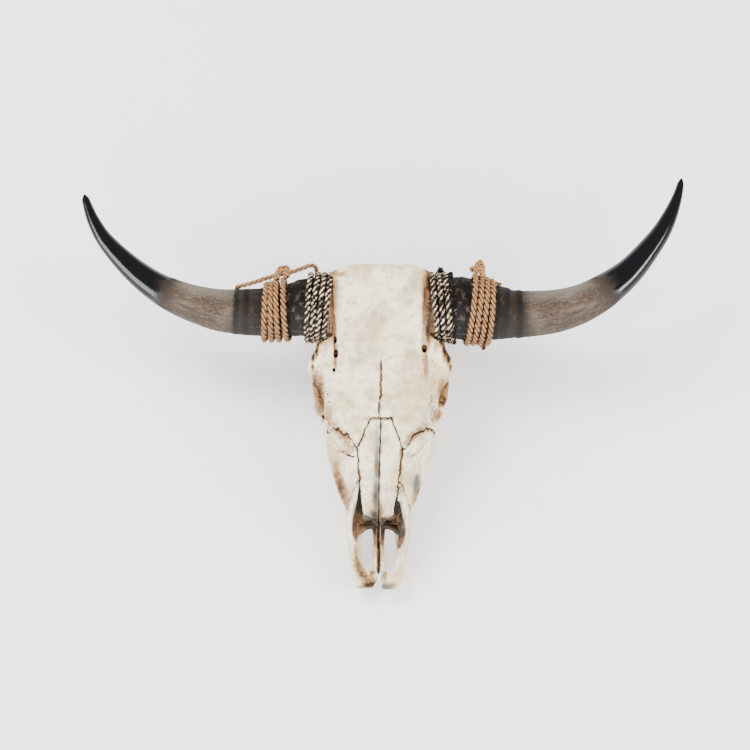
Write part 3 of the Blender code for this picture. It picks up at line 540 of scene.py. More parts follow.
def read_grid(values, points):
    """The grid's value at each point, from its eight neighbours."""
    lows = np.array([axis.flat[0] for axis in head_axes], np.float32)
    place = np.clip((points - lows) / GRAIN, 0, np.array(values.shape) - 1.001)
    first = place.astype(int)
    t = place - first
    found = np.zeros(len(points), np.float32)
    for corner in np.ndindex(2, 2, 2):
        share = np.prod(np.where(corner, t, 1 - t), axis=1)
        found += share * values[tuple((first + corner).T)]
    return found


# How much bone there is close around each place, which tells its crevices, and further around, its hollows.
CREVICE_REACH = 3  # in steps of the grid
HOLLOW_REACH = 14
inside = (head < 0).astype(np.float32)
crevice_grid = blurred(inside, CREVICE_REACH)
hollow_grid = blurred(inside, HOLLOW_REACH)

# The bones meet along wavy seams. Each region gives the distance outside it.
NASAL_OUTLINE = ((0, .0010), (.0160, .0010), (.0260, -.0230), (.0350, -.0460), (.0330, -.0700),
                 (.0305, -.0950), (.0290, -.1210), (.0290, -.1900))  # half width and place on the face
NASAL_DEPTH = 0.013
PREMAXILLA_CUT = ((-.090, .112), (-.152, .024))  # (along, up) of the slanting joint's two ends
CHEEK_SUTURE = ((0, -.046), (.036, -.046), (.052, -.024), (.068, -.014), (.084, -.008), (.120, -.006))
JAW_BACK = 0.062
JAW_LEVEL = 0.064
SEAM = 0.00015  # half the gap at a seam
SEAM_LINE = 0.0011  # how far its dark line reaches
SEAM_HALO = 0.0036  # and the stain beside that
SOCKET_STAIN = 0.0040  # how far the hollows' brown reaches on to the bone around them
# how far the nostrils' painted shade reaches on to the bone around them
NOSTRIL_SHADE_REACH = 0.0045


def nose_region(x, y, z):
    """The two nasal bones, from their underside up."""
    along, lift = as_faced(y, z)
    x = x - muzzle_bend(y)
    widths, places = zip(*NASAL_OUTLINE[:0:-1])
    wide = np.interp(along, places, widths) - .0007 * (x < 0) * step(-along, .075, .110)
    wave = .0005 * np.sin(along / .0016 + 2 * np.sin(along / .006))
    wave = wave + .0006 * np.sin(along / .0047 + np.sign(x))
    saw = .0009 * np.sin(x / .0010 + 1.5 * np.sin(x / .0037))
    return np.maximum(np.maximum(.93 * (np.abs(x) - wide - wave), along - .0010 - saw), -lift - NASAL_DEPTH)


def front_region(x, y, z):
    """The premaxillae, in front of a slanting joint."""
    (y1, z1), (y2, z2) = PREMAXILLA_CUT
    slope = (y2 - y1) / (z2 - z1)
    wave = .0011 * np.sin(z / .0029 + 2 * np.sign(x)) + .0006 * np.sin(z / .0013)
    return (y - y1 + .009 - (z - z1) * slope - wave) / math.hypot(1, slope)


def jaw_region(x, y, z):
    """The upper jaws, in front of the cheek's zigzag seam and low down under the eye sockets."""
    outs, places = zip(*CHEEK_SUTURE)
    wave = .0010 * np.sin(x / .0013 + 2.5 * np.sin(x / .0061)) + .0014 * np.sin(x / .0039 + 1)
    wave = wave + .0010 * np.sin(z / .0021 + x / .004)
    edge = np.interp(np.abs(x), outs, places) + wave
    return np.minimum(.7 * (y - edge), np.maximum(y - JAW_BACK, z - JAW_LEVEL))


def skin(name, low, high, cuts):
    """One bone: the part of the head that is left by the cuts, as a mesh with its traits.

    Each cut comes with how broadly its seam is stained."""
    cut, (x, y, z) = near(head, low, high)
    field = head[cut]
    for region, _ in cuts:
        field = cut_away(field, -region(x, y, z), .0012)
    field = np.pad(field, 1, constant_values=.002)
    grid = openvdb.FloatGrid(1.0)
    grid.copyFromArray(np.ascontiguousarray(field))
    points, quads = grid.convertToQuads(0.0)
    points = (points - 1) * GRAIN + np.array([axis.flat[0] for axis in (x, y, z)])
    seam = np.min([np.abs(region(*points.T)) / mark for region, mark in cuts], axis=0)
    made = make_mesh(name + "_bone", points, quads, {
        "crevice": read_grid(crevice_grid, points),
        "hollow": read_grid(hollow_grid, points),
        "seam": np.exp(-(seam / SEAM_LINE)**2),
        "seam_halo": np.exp(-(seam / SEAM_HALO)**2),
        # stains, with painted shade among them
        "stain_and_shade": spots_at(points, STAINS_AND_SHADE),
        "grey_shade": spots_at(points, PAINTED_GREY_SHADE),
        "specks": spots_at(points, SPECKLED),
        "socket": np.clip(1 - read_grid(sockets, points) / SOCKET_STAIN, 0, 1),
        "nostril_shade": np.maximum(slit_at(points), np.clip(1 - read_grid(nostrils, points) / NOSTRIL_SHADE_REACH, 0, 1)
                              * step(points[:, 1], -.212, -.182)),
        # where the painted shade is darkest
        "depth": spots_at(points, DEEPEST_SHADE),
        "tooth": tooth_at(points),
    })
    made.data.materials.append(bone)
    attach(made, "root")
    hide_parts(name)


def make_mesh(name, points, faces, traits):
    """A smooth mesh object in the row's frame, with a named value at each of its points."""
    corners = faces.shape[1]
    a, b, c = (points[faces[:, k]].astype(float) for k in range(3))
    if np.sum(np.cross(b - a, c - a) * a) < 0:
        faces = faces[:, ::-1]
    mesh = bpy.data.meshes.new(name)
    mesh.vertices.add(len(points))
    mesh.vertices.foreach_set("co", np.asarray(points + np.array(SKULL_AT), np.float32).ravel())
    mesh.loops.add(faces.size)
    mesh.loops.foreach_set("vertex_index", faces.astype(np.int32).ravel())
    mesh.polygons.add(len(faces))
    mesh.polygons.foreach_set("loop_start", np.arange(0, faces.size, corners, dtype=np.int32))
    mesh.update(calc_edges=True)
    mesh.shade_smooth()
    for trait, values in traits.items():
        kind, key = ("FLOAT", "value") if values.ndim == 1 else ("FLOAT_VECTOR", "vector")
        mesh.attributes.new(trait, kind, "POINT").data.foreach_set(key, values.astype(np.float32).ravel())
    made = bpy.data.objects.new(name, mesh)
    bpy.context.scene.collection.objects.link(made)
    return made


# Soft-edged spots seen square on to the face: (out, along), (wide, long), strength.
# Brown stains, and painted shade under and beside the cords, on the brows' outer edges, in sockets and rods.
STAINS_AND_SHADE = {  # brown taken up from earth and from the cords
    "under the cords": (((-.0865, .178), (.0062, .052), 1.8), ((.0865, .178), (.0062, .052), 1.8)),
    "beside the cords": (((-.0765, .180), (.0048, .052), 1.45), ((-.0752, .150), (.0024, .030), 1.8),
                         ((-.0722, .124), (.0020, .022), 1.6), ((-.0800, .130), (.0070, .014), .8),
                         ((-.0802, .146), (.0034, .016), 1.3), ((-.0720, .190), (.0050, .040), .70),
                         ((.0705, .185), (.0064, .045), 1.5), ((.0745, .188), (.0056, .046), 2.9),
                         ((.0730, .150), (.0044, .034), 2.1),
                         ((.0785, .150), (.0044, .018), 1.5), ((.0790, .132), (.0070, .014), .9)),
    "grooves": (((-.0712, .096), (.0022, .022), 1.0), ((.0700, .096), (.0028, .026), .7),
                ((-.0702, .1005), (.0040, .009), 1.1), ((.0676, .1085), (.0046, .008), 1.1),
                ((-.0708, .122), (.0024, .008), 1.3)),
    "brow edges": (((-.0940, .127), (.0050, .009), 2.4), ((-.1006, .111), (.0036, .013), 2.4),
                   ((-.1058, .097), (.0028, .009), 2.0), ((.0945, .124), (.0052, .010), 2.5),
                   ((.0994, .109), (.0038, .014), 2.5), ((.1050, .096), (.0030, .011), 2.2),
                   ((-.1062, .080), (.0024, .006), 1.2), ((.1080, .080), (.0026, .007), 1.1)),
    "eye sockets": (((-.1030, .052), (.007, .020), 1.15), ((.1030, .050), (.006, .018), .65),
                    ((-.0960, .040), (.008, .022), 1.55), ((.0960, .040), (.008, .022), 1.05),
                    ((-.0860, .004), (.012, .010), .5), ((.0880, .004), (.010, .012), .7)),
    "cheek seams": (((-.0740, -.010), (.011, .009), .48), ((-.0670, -.019), (.012, .009), .60),
                    ((-.0600, -.028), (.012, .009), .62), ((-.0530, -.037), (.010, .009), .60),
                    ((-.0470, -.046), (.008, .008), .52), ((-.0600, -.052), (.018, .004), .5),
                    ((.0390, -.038), (.007, .008), .62), ((.0450, -.031), (.008, .007), .62),
                    ((.0530, -.024), (.009, .006), .62), ((.0610, -.018), (.010, .006), .58),
                    ((.0700, -.010), (.010, .006), .5), ((.0440, -.056), (.014, .005), .45)),
    "flanks": (((-.0700, -.076), (.006, .012), .65), ((-.0685, -.090), (.007, .012), 1.0),
               ((-.0655, -.102), (.008, .012), 1.3), ((-.0625, -.112), (.008, .012), 1.4),
               ((-.0590, -.122), (.007, .012), 1.4), ((-.0550, -.132), (.006, .012), 1.15),
               ((.0560, -.130), (.005, .012), 1.0)),
    "muzzle": (((-.0400, -.212), (.0034, .012), .80), ((-.0392, -.222), (.0044, .011), .95),
               ((-.0372, -.231), (.0052, .010), 1.05), ((-.0340, -.238), (.0060, .009), 1.1),
               ((-.0300, -.245), (.0066, .009), 1.15), ((-.0255, -.251), (.0074, .008), 1.2),
               ((-.0205, -.256), (.0084, .008), 1.25), ((-.0180, -.2625), (.0110, .0055), 1.9),
               ((-.0150, -.246), (.0050, .004), 1.0)),
    "rods": (((-.0085, -.190), (.008, .020), 1.0), ((.0030, -.190), (.008, .020), 1.2),
             ((-.0034, -.218), (.0034, .046), 1.5), ((-.0140, -.218), (.0024, .036), 1.4),
             ((.0074, -.218), (.0024, .036), 1.4), ((-.0034, -.222), (.0090, .034), .55)),
    "nose seams": (((.0310, -.070), (.0026, .050), .7), ((-.0345, -.100), (.0028, .030), .6),
                   ((-.001, .045), (.0030, .045), .65), ((-.004, .000), (.020, .0032), .8)),
    "poll corners": (((-.0770, .226), (.010, .008), .9), ((.0740, .226), (.010, .008), .7),
                     ((-.066, .224), (.012, .005), .6)),
}
# Painted grey shade along the nasal midline, at the nose's ends and muzzle, on the forehead's edges and
# cheeks.
PAINTED_GREY_SHADE = {  # greyed
    "nose": (((-.0060, -.070), (.0055, .034), 1.25), ((-.0072, -.118), (.0064, .030), 1.6),
             ((-.0090, -.150), (.0090, .010), 1.9), ((-.0020, -.142), (.0060, .020), 1.0),
             ((.0085, -.110), (.0035, .034), .40), ((-.0190, -.154), (.007, .006), 1.2),
             ((.0110, -.152), (.007, .004), .7), ((-.006, -.025), (.004, .040), .55)),
    "muzzle": (((-.0130, -.262), (.0080, .009), 1.5), ((.0080, -.266), (.018, .007), 1.1),
               ((.0040, -.250), (.004, .012), .8), ((-.030, -.268), (.016, .006), .8)),
    "forehead": (((-.0680, .180), (.006, .034), .60), ((-.070, .080), (.012, .016), .35),
                 ((.0700, .078), (.006, .018), .60)),
    "under the eyes": (((-.096, .016), (.014, .016), .70), ((.0890, .004), (.009, .012), .70),
                       ((-.0790, .040), (.016, .016), .28), ((.0780, .036), (.016, .018), .24)),
    "cheeks": (((.0560, -.108), (.008, .024), 1.35), ((-.0420, -.030), (.020, .010), .2)),
}
# Painted shade, the darkest: down in the nostrils and under the brows in the eye sockets.
DEEPEST_SHADE = {  # darkest, in the nostrils and the eye sockets
    "middle": (((-.0035, -.162), (.022, .016), 1.6), ((-.0035, -.185), (.0060, .024), 1.4),
               ((-.0035, -.220), (.0045, .030), 1.0)),
    "sides": (((.0260, -.150), (.010, .026), 1.5), ((-.0320, -.135), (.008, .020), 1.3),
              ((.0260, -.180), (.012, .010), 1.2), ((-.0150, -.172), (.008, .008), 1.2)),
    "under the brow": (((-.1010, .058), (.0035, .008), 1.2), ((-.0955, .046), (.0042, .010), 1.4),
                       ((-.0890, .034), (.0040, .007), 1.0), ((.1000, .055), (.0030, .010), .9),
                       ((.0930, .040), (.0030, .010), 1.0)),
}
SPECKLED = {  # strewn with small dark specks
    "under the eyes": (((-.0880, .022), (.016, .016), 1.1), ((.0840, .022), (.012, .016), .9),
                       ((-.0800, .060), (.016, .018), .5), ((-.1060, .072), (.008, .008), .8)),
    "cheeks": (((-.0560, -.026), (.016, .012), .9), ((-.0580, -.054), (.018, .005), 1.0),
               ((.0600, -.010), (.020, .010), .8), ((.0440, -.058), (.014, .006), .9),
               ((-.0690, -.085), (.012, .024), .7), ((-.025, -.020), (.030, .030), .25)),
    "nose": (((-.004, -.150), (.018, .010), .9), ((.0310, -.110), (.006, .014), .9)),
    "forehead": (((.0520, .045), (.020, .020), .35), ((-.0400, .180), (.030, .030), .25),
                 ((-.0600, .215), (.024, .012), .5)),
}


def spots_at(points, spots):
    """How strongly the soft-edged spots, seen square on to the face, show at each point."""
    along, lift = as_faced(points[:, 1], points[:, 2])
    found = np.zeros(len(points))
    for (out, place), (wide, long), strength in itertools.chain(*spots.values()):
        spot = strength * np.exp(-((points[:, 0] - out) / wide)**2 - ((along - place) / long)**2)
        found = np.maximum(found, spot)
    return found * np.clip((lift + .100) / .02, 0, 1)


def tooth_at(points):
    """One on the cheek teeth, nothing on the jaw."""
    x, y, z = points.T
    found = np.zeros(len(points))
    for out, along, width, length in TEETH:
        reach = np.hypot((np.abs(x) - out) / (.62 * width), (y - along) / (.58 * length))
        found = np.maximum(found, np.clip(8 * (1.02 - reach), 0, 1))
    return found * np.clip((CROWN_TOP - .007 - z) / .002, 0, 1)


def slit_at(points):
    """One down between the two rods of the palate, where painted shade darkens the slit."""
    x, y, z = points.T
    aside = np.abs(x - muzzle_bend(y)) / (.0038 - .0016 * step(-y, .160, .215))
    return step(aside, 1.15, .85) * step(-y, .135, .150) * step(y, -.2270, -.2225) * step(z, .0350, .0325)


class Paint:
    """A material, with short ways to lay its procedural layers."""

    def __init__(self, name, roughness):
        self.material = bpy.data.materials.new(name)
        self.material.use_nodes = True
        self.tree = self.material.node_tree
        self.shader = self.tree.nodes["Principled BSDF"]
        self.shader.inputs["Roughness"].default_value = roughness

    def add(self, kind, inputs, **settings):
        """A node with its inputs set or linked."""
        made = self.tree.nodes.new(kind)
        for key, value in settings.items():
            setattr(made, key, value)
        for key, value in inputs.items():
            if isinstance(value, bpy.types.NodeSocket):
                self.tree.links.new(value, made.inputs[key])
            else:
                made.inputs[key].default_value = value
        return made

    def trait(self, name, output="Fac"):
        """What was worked out for each point of the mesh under this name."""
        return self.add("ShaderNodeAttribute", {}, attribute_name=name).outputs[output]

    def place(self, stretch=(1, 1, 1), trait=None):
        """Coordinates on the object, or from a trait, stretched along each axis."""
        start = self.trait(trait, "Vector") if trait else self.add("ShaderNodeTexCoord", {}).outputs["Object"]
        return self.add("ShaderNodeMapping", {"Vector": start, "Scale": stretch}).outputs[0]

    def cloud(self, place, scale, detail=4.0, rough=0.55):
        """Soft noise from 0 to 1."""
        inputs = {"Vector": place, "Scale": scale, "Detail": detail, "Roughness": rough}
        return self.add("ShaderNodeTexNoise", inputs).outputs["Fac"]

    def between(self, value, low, high, start=0.0, end=1.0):
        """Runs from start to end as the value goes from low to high."""
        inputs = {0: value, 1: low, 2: high, 3: start, 4: end}
        return self.add("ShaderNodeMapRange", inputs, interpolation_type="SMOOTHSTEP").outputs[0]

    def worked(self, one, two, kind):
        """One value worked out from two."""
        return self.add("ShaderNodeMath", {0: one, 1: two}, operation=kind).outputs[0]

    def sum(self, one, two):
        return self.worked(one, two, "ADD")

    def times(self, one, two):
        return self.worked(one, two, "MULTIPLY")

    def layer(self, under, over, share):
        """One colour laid over another."""
        ready = [value if isinstance(value, bpy.types.NodeSocket) else (*value, 1) for value in (under, over)]
        inputs = {0: share, 6: ready[0], 7: ready[1]}
        return self.add("ShaderNodeMix", inputs, data_type="RGBA").outputs[2]

    def coat(self, under, over, value, low, high, most=1.0):
        """One colour laid over another, from nothing at a low value to at most this share at a high one."""
        return self.layer(under, over, self.between(value, low, high, 0, most))

    def finish(self, colour, height, depth, roughness=None):
        """The material with its colour, its relief of so many metres, and its roughness where that varies."""
        self.tree.links.new(colour, self.shader.inputs["Base Color"])
        bump = self.add("ShaderNodeBump", {"Height": height, "Distance": depth, "Strength": 1.0})
        self.tree.links.new(bump.outputs[0], self.shader.inputs["Normal"])
        if roughness:
            self.tree.links.new(roughness, self.shader.inputs["Roughness"])
        return self.material


def dry_bone():
    """Ivory bone that has lain outside: stained, dark at crevices and seams, with grey and deep painted
    shade.
    """
    paint = Paint("dry_bone", .60)
    paint.shader.inputs["Specular IOR Level"].default_value = .15
    place = paint.place()
    # ivory with browner and greyer patches, along the grain
    broad, patches, mottle, fine = (paint.cloud(place, scale) for scale in (17.0, 31.0, 75.0, 360.0))
    grain = paint.cloud(paint.place((1, .12, .5)), 420.0, 3.0)
    colour = paint.coat((.885, .795, .560), (.560, .430, .235), broad, .42, .62, .95)
    colour = paint.coat(colour, (.440, .320, .170), mottle, .48, .70, .60)
    colour = paint.coat(colour, (.360, .335, .290), patches, .52, .68, .52)
    colour = paint.coat(colour, (.430, .320, .200), grain, .50, .74, .40)
    # paler on the ridges, with hairline cracks
    colour = paint.coat(colour, (.95, .90, .80), paint.trait("crevice"), .47, .38, .5)
    cracks = paint.cloud(paint.place((1, .10, .4)), 95.0, 2.0)
    cracks = paint.between(paint.worked(paint.sum(cracks, -.5), 0, "ABSOLUTE"), .001, .007, 1, 0)
    cracks = paint.times(cracks, paint.between(patches, .50, .58))
    colour = paint.layer(colour, (.260, .150, .070), paint.times(cracks, .55))
    # grey painted shade along the nose's middle and ends, on the muzzle, forehead, cheeks and under the eyes
    grey_shade = paint.times(paint.trait("grey_shade"), paint.between(mottle, .30, .66, .82, 1.08))
    colour = paint.coat(colour, (.058, .049, .038), grey_shade, .02, 1.10, .90)
    colour = paint.coat(colour, (.022, .018, .014), grey_shade, 1.10, 1.70, .92)
    # brown soaked in at the stains, which also lay painted shade under and beside the cords and on the brows
    patchy = paint.times(paint.sum(mottle, fine), .5)
    soak_and_shade = paint.times(paint.trait("stain_and_shade"), paint.between(patchy, .38, .62, .60, 1.18))
    colour = paint.coat(colour, (.310, .165, .062), soak_and_shade, .08, .50, .92)
    colour = paint.coat(colour, (.085, .037, .014), soak_and_shade, .55, 1.00, .92)
    colour = paint.coat(colour, (.016, .008, .004), soak_and_shade, 1.10, 1.60, .92)
    # brown, pitted eye sockets, darkened by painted shade under the brows
    socket = paint.times(paint.trait("socket"), paint.between(broad, .2, .6, .55, 1))
    colour = paint.coat(colour, (.290, .145, .055), socket, .20, .80, .92)
    deepest_shade = paint.between(paint.trait("depth"), .2, .8)
    pits = paint.worked(paint.between(mottle, .50, .60), deepest_shade, "MAXIMUM")
    pits = paint.times(paint.between(socket, .25, .60), pits)
    colour = paint.layer(colour, (.060, .026, .011), paint.times(pits, .95))
    # painted shade in the deep hollows, from how much bone is around
    hollow_shade = paint.between(paint.trait("hollow"), .55, .78)
    hollow_shade = paint.times(hollow_shade, paint.between(broad, .2, .6, .7, 1))
    colour = paint.layer(colour, (.085, .034, .014), hollow_shade)
    # painted shade, brown to near black, down in the nostrils and the slit between the rods
    nostril_shade = paint.coat((.160, .066, .026), (.048, .020, .010), mottle, .40, .60)
    nostril_shade = paint.coat(nostril_shade, (.0045, .0022, .0015), paint.trait("depth"), .1, .6, .96)
    colour = paint.coat(colour, nostril_shade, paint.trait("nostril_shade"), .30, .90, .97)
    # darker brown to near black in crevices, seams and pits
    crevice_brown = paint.sum(paint.trait("crevice"), paint.between(mottle, .3, .7, -.03, .03))
    colour = paint.coat(colour, (.330, .165, .070), crevice_brown, .515, .59, .65)
    crevice_dark = paint.sum(paint.trait("crevice"), paint.between(fine, .3, .7, -.03, .03))
    colour = paint.coat(colour, (.045, .018, .008), crevice_dark, .56, .68, .95)
    edge = paint.times(paint.trait("seam_halo"), paint.between(mottle, .35, .62, .15, 1))
    colour = paint.coat(colour, (.230, .130, .062), edge, .10, .90, .68)
    line = paint.times(paint.trait("seam"), paint.between(mottle, .30, .55, .45, 1))
    colour = paint.coat(colour, (.016, .008, .005), line, .15, .62, .97)
    speck = paint.sum(paint.cloud(place, 620.0, 2.0), paint.between(paint.trait("specks"), 0, 1, 0, .16))
    colour = paint.coat(colour, (.110, .050, .022), speck, .70, .78, .85)
    # yellowed teeth
    enamel = paint.coat((.70, .60, .42), (.16, .08, .035), mottle, .50, .62, .8)
    colour = paint.layer(colour, enamel, paint.trait("tooth"))
    height = paint.times(paint.cloud(place, 420.0, 6.0, .7), paint.cloud(place, 1500.0, 2.0))
    return paint.finish(colour, height, .0006)


bone = dry_bone()


def outside(region):
    """The cut that leaves this region out, half a seam beyond its edge."""
    return lambda x, y, z: SEAM - region(x, y, z)


def within(region):
    """The cut that keeps only this region, half a seam inside its edge."""
    return lambda x, y, z: region(x, y, z) + SEAM


skin("cranium", (-.2, -.060, -.1), (.2, .3, .3),
     [(outside(nose_region), 1), (outside(front_region), .4), (outside(jaw_region), 1)])
for side, word in ((-1, "right"), (1, "left")):
    def own_half(x, y, z, side=side):
        """The cut along the middle line, which laps under the rods so that no light shows between them."""
        lap = .0022 * step(z, .0335, .0295) * step(-y, .120, .130)
        return SEAM - side * (x - muzzle_bend(y) - lap)
    low, high = ((-.006, .130), (-.130, .006))[side < 0]
    skin("maxilla_" + word, (low, -.175, -.1), (high, .066, .150),
         [(outside(nose_region), 1), (outside(front_region), .4), (within(jaw_region), 1), (own_half, 1)])
    skin("nasal_" + word, (low, -.175, .08), (high, .010, .2), [(within(nose_region), 1), (own_half, 1)])
    skin("premaxilla_" + word, (low, -.262, 0), (high, -.085, .15),
         [(outside(nose_region), .7), (within(front_region), .4), (own_half, 1)])

# ---- Horns --------------------------------------------------------------------------------------------
# Sheaths of keratin grown over the bone's cores: rough and brown-black at the root, ringed by yearly growth,
# streaked grey-brown along the middle, with a painted highlight on the side to the poll and painted shade on
# the side to the muzzle, and polished black towards the tip.
HORN_RIGHT = (  # (out, along the face, above the face, radius) from the root to the tip
    (-.0903, .1735, -.0420, .0466), (-.1070, .1735, -.0420, .0466), (-.1220, .1725, -.0420, .0450),
    (-.1410, .1700, -.0430, .0413), (-.1823, .1663, -.0440, .0380), (-.2431, .1683, -.0430, .0340),
    (-.2803, .1758, -.0400, .0304), (-.3182, .1888, -.0340, .0268), (-.3547, .2081, -.0250, .0227),
    (-.3904, .2364, -.0120, .0183), (-.4252, .2741, .0060, .0132), (-.4425, .3040, .0180, .0098),
    (-.4519, .3310, .0280, .0068), (-.4549, .3447, .0335, .0048),
)
HORN_LEFT = (
    (.0903, .1735, -.0420, .0466), (.1070, .1735, -.0420, .0468), (.1210, .1730, -.0420, .0488),
    (.1370, .1705, -.0420, .0485), (.1670, .1665, -.0430, .0436), (.1875, .1650, -.0440, .0418),
    (.2059, .1633, -.0440, .0380), (.2433, .1643, -.0430, .0357), (.2811, .1693, -.0400, .0334),
    (.3181, .1812, -.0340, .0301), (.3547, .2027, -.0240, .0266), (.3902, .2325, -.0100, .0215),
    (.4246, .2761, .0100, .0160), (.4416, .3068, .0240, .0124), (.4534, .3397, .0380, .0079),
    (.4588, .3680, .0495, .0040),
)
ROPE_GAP = 0.0004  # between a horn and the rope wound round it
# How far out the dark growth rings are, and where the black tip begins and is full.
RINGS_RIGHT, TIP_RIGHT = (.186, .2105, .2265), (.304, .374)
RINGS_LEFT, TIP_LEFT = (.178, .1945, .2165), (.320, .390)
DARK_ROOT = (.262, .150)  # where the dark of the root has faded, and where it is full
RING_SWELL, RING_WIDTH, RING_STAIN = 0.0008, 0.0045, 0.0052
FLUTES = (2, 3, 5, 9, 14, 23)  # how many times each goes up and down round the horn
ROOT_CHIPS = 0.0005
HORN_ROWS = 420
HORN_SIDES = 112
ROUND_TIP = 7  # rows over which the tip rounds off


class Horn:
    """A horn's centre line and radius, and the directions square to it."""

    def __init__(self, points):
        self.side = 1 if points[0][0] > 0 else -1
        path = np.array(spline([Vector((*on_face(*p[:3]), p[3])) for p in points], 16))
        far = np.concatenate(([0], np.cumsum(np.linalg.norm(np.diff(path[:, :3], axis=0), axis=1))))
        self.far = np.linspace(0, far[-1], HORN_ROWS)
        path = np.stack([np.interp(self.far, far, path[:, k]) for k in range(4)], axis=1)
        self.centre, self.radius, self.out = path[:, :3], path[:, 3], np.abs(path[:, 0])
        run = np.gradient(self.centre, axis=0)
        run[0] = (self.side, 0, 0)
        run /= np.linalg.norm(run, axis=1)[:, None]
        up = np.array((0, -math.sin(FACE_TILT), math.cos(FACE_TILT)))
        up = up - run * (run @ up)[:, None]
        self.up = up / np.linalg.norm(up, axis=1)[:, None]
        back = np.cross(self.up, run) * self.side
        self.back = back * np.sign(back[:, 1])[:, None]

    def axis(self, points):
        """The places on the centre line level with these points."""
        out = self.side * points[:, 0]
        return np.stack([np.interp(out, self.out, column) for column in self.centre.T], axis=1)

    def beside(self, out, degrees, gap):
        """Points this far outside the surface: 0 degrees is the upper side, 90 the side to the poll."""
        out, turn = np.atleast_1d(out), np.radians(np.atleast_1d(degrees))[:, None]
        def at(values):
            return np.stack([np.interp(out, self.out, column) for column in values.T], axis=1)
        centre, reach = at(self.centre), np.interp(out, self.out, self.radius) + gap
        centre[:, 0] = self.side * out
        ray = at(self.up) * np.cos(turn) + at(self.back) * np.sin(turn)
        return centre + ray / np.linalg.norm(ray, axis=1)[:, None] * reach[:, None]

    def winding(self, outs, rope, lean, lead_in=60, lead_out=60, slip=0.0):
        """A rope wound across the upper side, which moves on by one turn underneath.

        The last turn can slip in beneath the one before on the upper side."""
        degrees = np.arange(-90 - lead_in, 360 * (len(outs) - 1) + 90 + lead_out, 1.5)
        turn = np.clip(np.floor((degrees + 90) / 360), 0, len(outs) - 1).astype(int)
        here, gaps = np.array(outs)[turn], np.append(np.diff(outs), outs[-1] - outs[-2])
        here = here + step(degrees - 360 * turn, 90, 270) * gaps[turn]
        here = here + np.minimum(degrees + 90, 0) / 180 * gaps[0] - lean * np.sin(np.radians(degrees))
        swell = np.interp(here, self.out, self.radius)
        for edge in (-rope / 2, rope / 2):
            swell = np.maximum(swell, np.interp(here + edge, self.out, self.radius))
        gap = swell - np.interp(here, self.out, self.radius) + rope / 2 + ROPE_GAP
        slipped = slip * np.clip(np.cos(np.radians(degrees)), 0, 1)**.6 * (turn == len(outs) - 1)
        return self.beside(here - slipped, degrees, gap - .5 * slipped)


def tube_faces(rows, around):
    """Quads of a tube whose points run round each ring in turn."""
    row, place = np.indices((rows - 1, around))
    start, ahead = row * around, (place + 1) % around
    corners = (start + place, start + ahead, start + around + ahead, start + around + place)
    return np.stack(corners, axis=-1).reshape(-1, 4)


def horn_sheath(name, horn, rings, tip, seed):
    """The horn as a closed tube, with its growth rings, flutes and chipped root."""
    rows, around = HORN_ROWS, HORN_SIDES
    turn = np.linspace(0, math.tau, around, endpoint=False)
    rng = np.random.default_rng(seed)
    flutes = sum(rng.uniform(.3, 1) / k * np.sin(k * turn + rng.uniform(0, 6)) for k in FLUTES)
    drift = np.interp(horn.far, np.linspace(0, horn.far[-1], 40), rng.normal(0, 1, 40))
    swell = sum(RING_SWELL * np.exp(-((horn.out - ring) / RING_WIDTH)**2) for ring in rings)
    swell = swell + .00035 * np.sin(horn.out / .0021 + 2 * np.sin(horn.out / .013)) * step(horn.out, .30, .15)
    chips = rng.normal(0, ROOT_CHIPS, (rows, around))
    for _ in range(2):
        chips = (chips + np.roll(chips, 1, 0) + np.roll(chips, 1, 1) + np.roll(chips, -1, 1)) / 3
    radius = horn.radius[:, None] * (1 + .004 * flutes[None] + .0015 * drift[:, None]) + swell[:, None]
    radius = radius + chips * step(horn.out, .155, .115)[:, None]
    end = np.clip((rows - 1 - np.arange(rows)) / ROUND_TIP, .0004, 1)
    radius = radius * np.sqrt(end)[:, None]
    radius[0] *= .02
    ray = horn.up[:, None] * np.cos(turn)[None, :, None] + horn.back[:, None] * np.sin(turn)[None, :, None]
    points = horn.centre[:, None] + ray * radius[:, :, None]
    far, turns = np.repeat(horn.far, around), np.tile(turn, rows)
    ring = sum(np.exp(-((horn.out - place) / RING_STAIN)**2) for place in rings)
    made = make_mesh(name + "_sheath", points.reshape(-1, 3), tube_faces(rows, around), {
        "grain": np.stack((far, .03 * np.cos(turns), .03 * np.sin(turns)), axis=1),
        "black_tip": np.repeat(step(horn.out, *tip), around),
        "dark_root": np.repeat(step(horn.out, *DARK_ROOT), around),
        "ring": np.repeat(ring, around),
        # which side faces the poll: painted highlight there, painted shade on the side to the muzzle
        "poll_side": np.sin(turns),
    })
    made.data.materials.append(keratin)
    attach(made, "root")
    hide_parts(name)


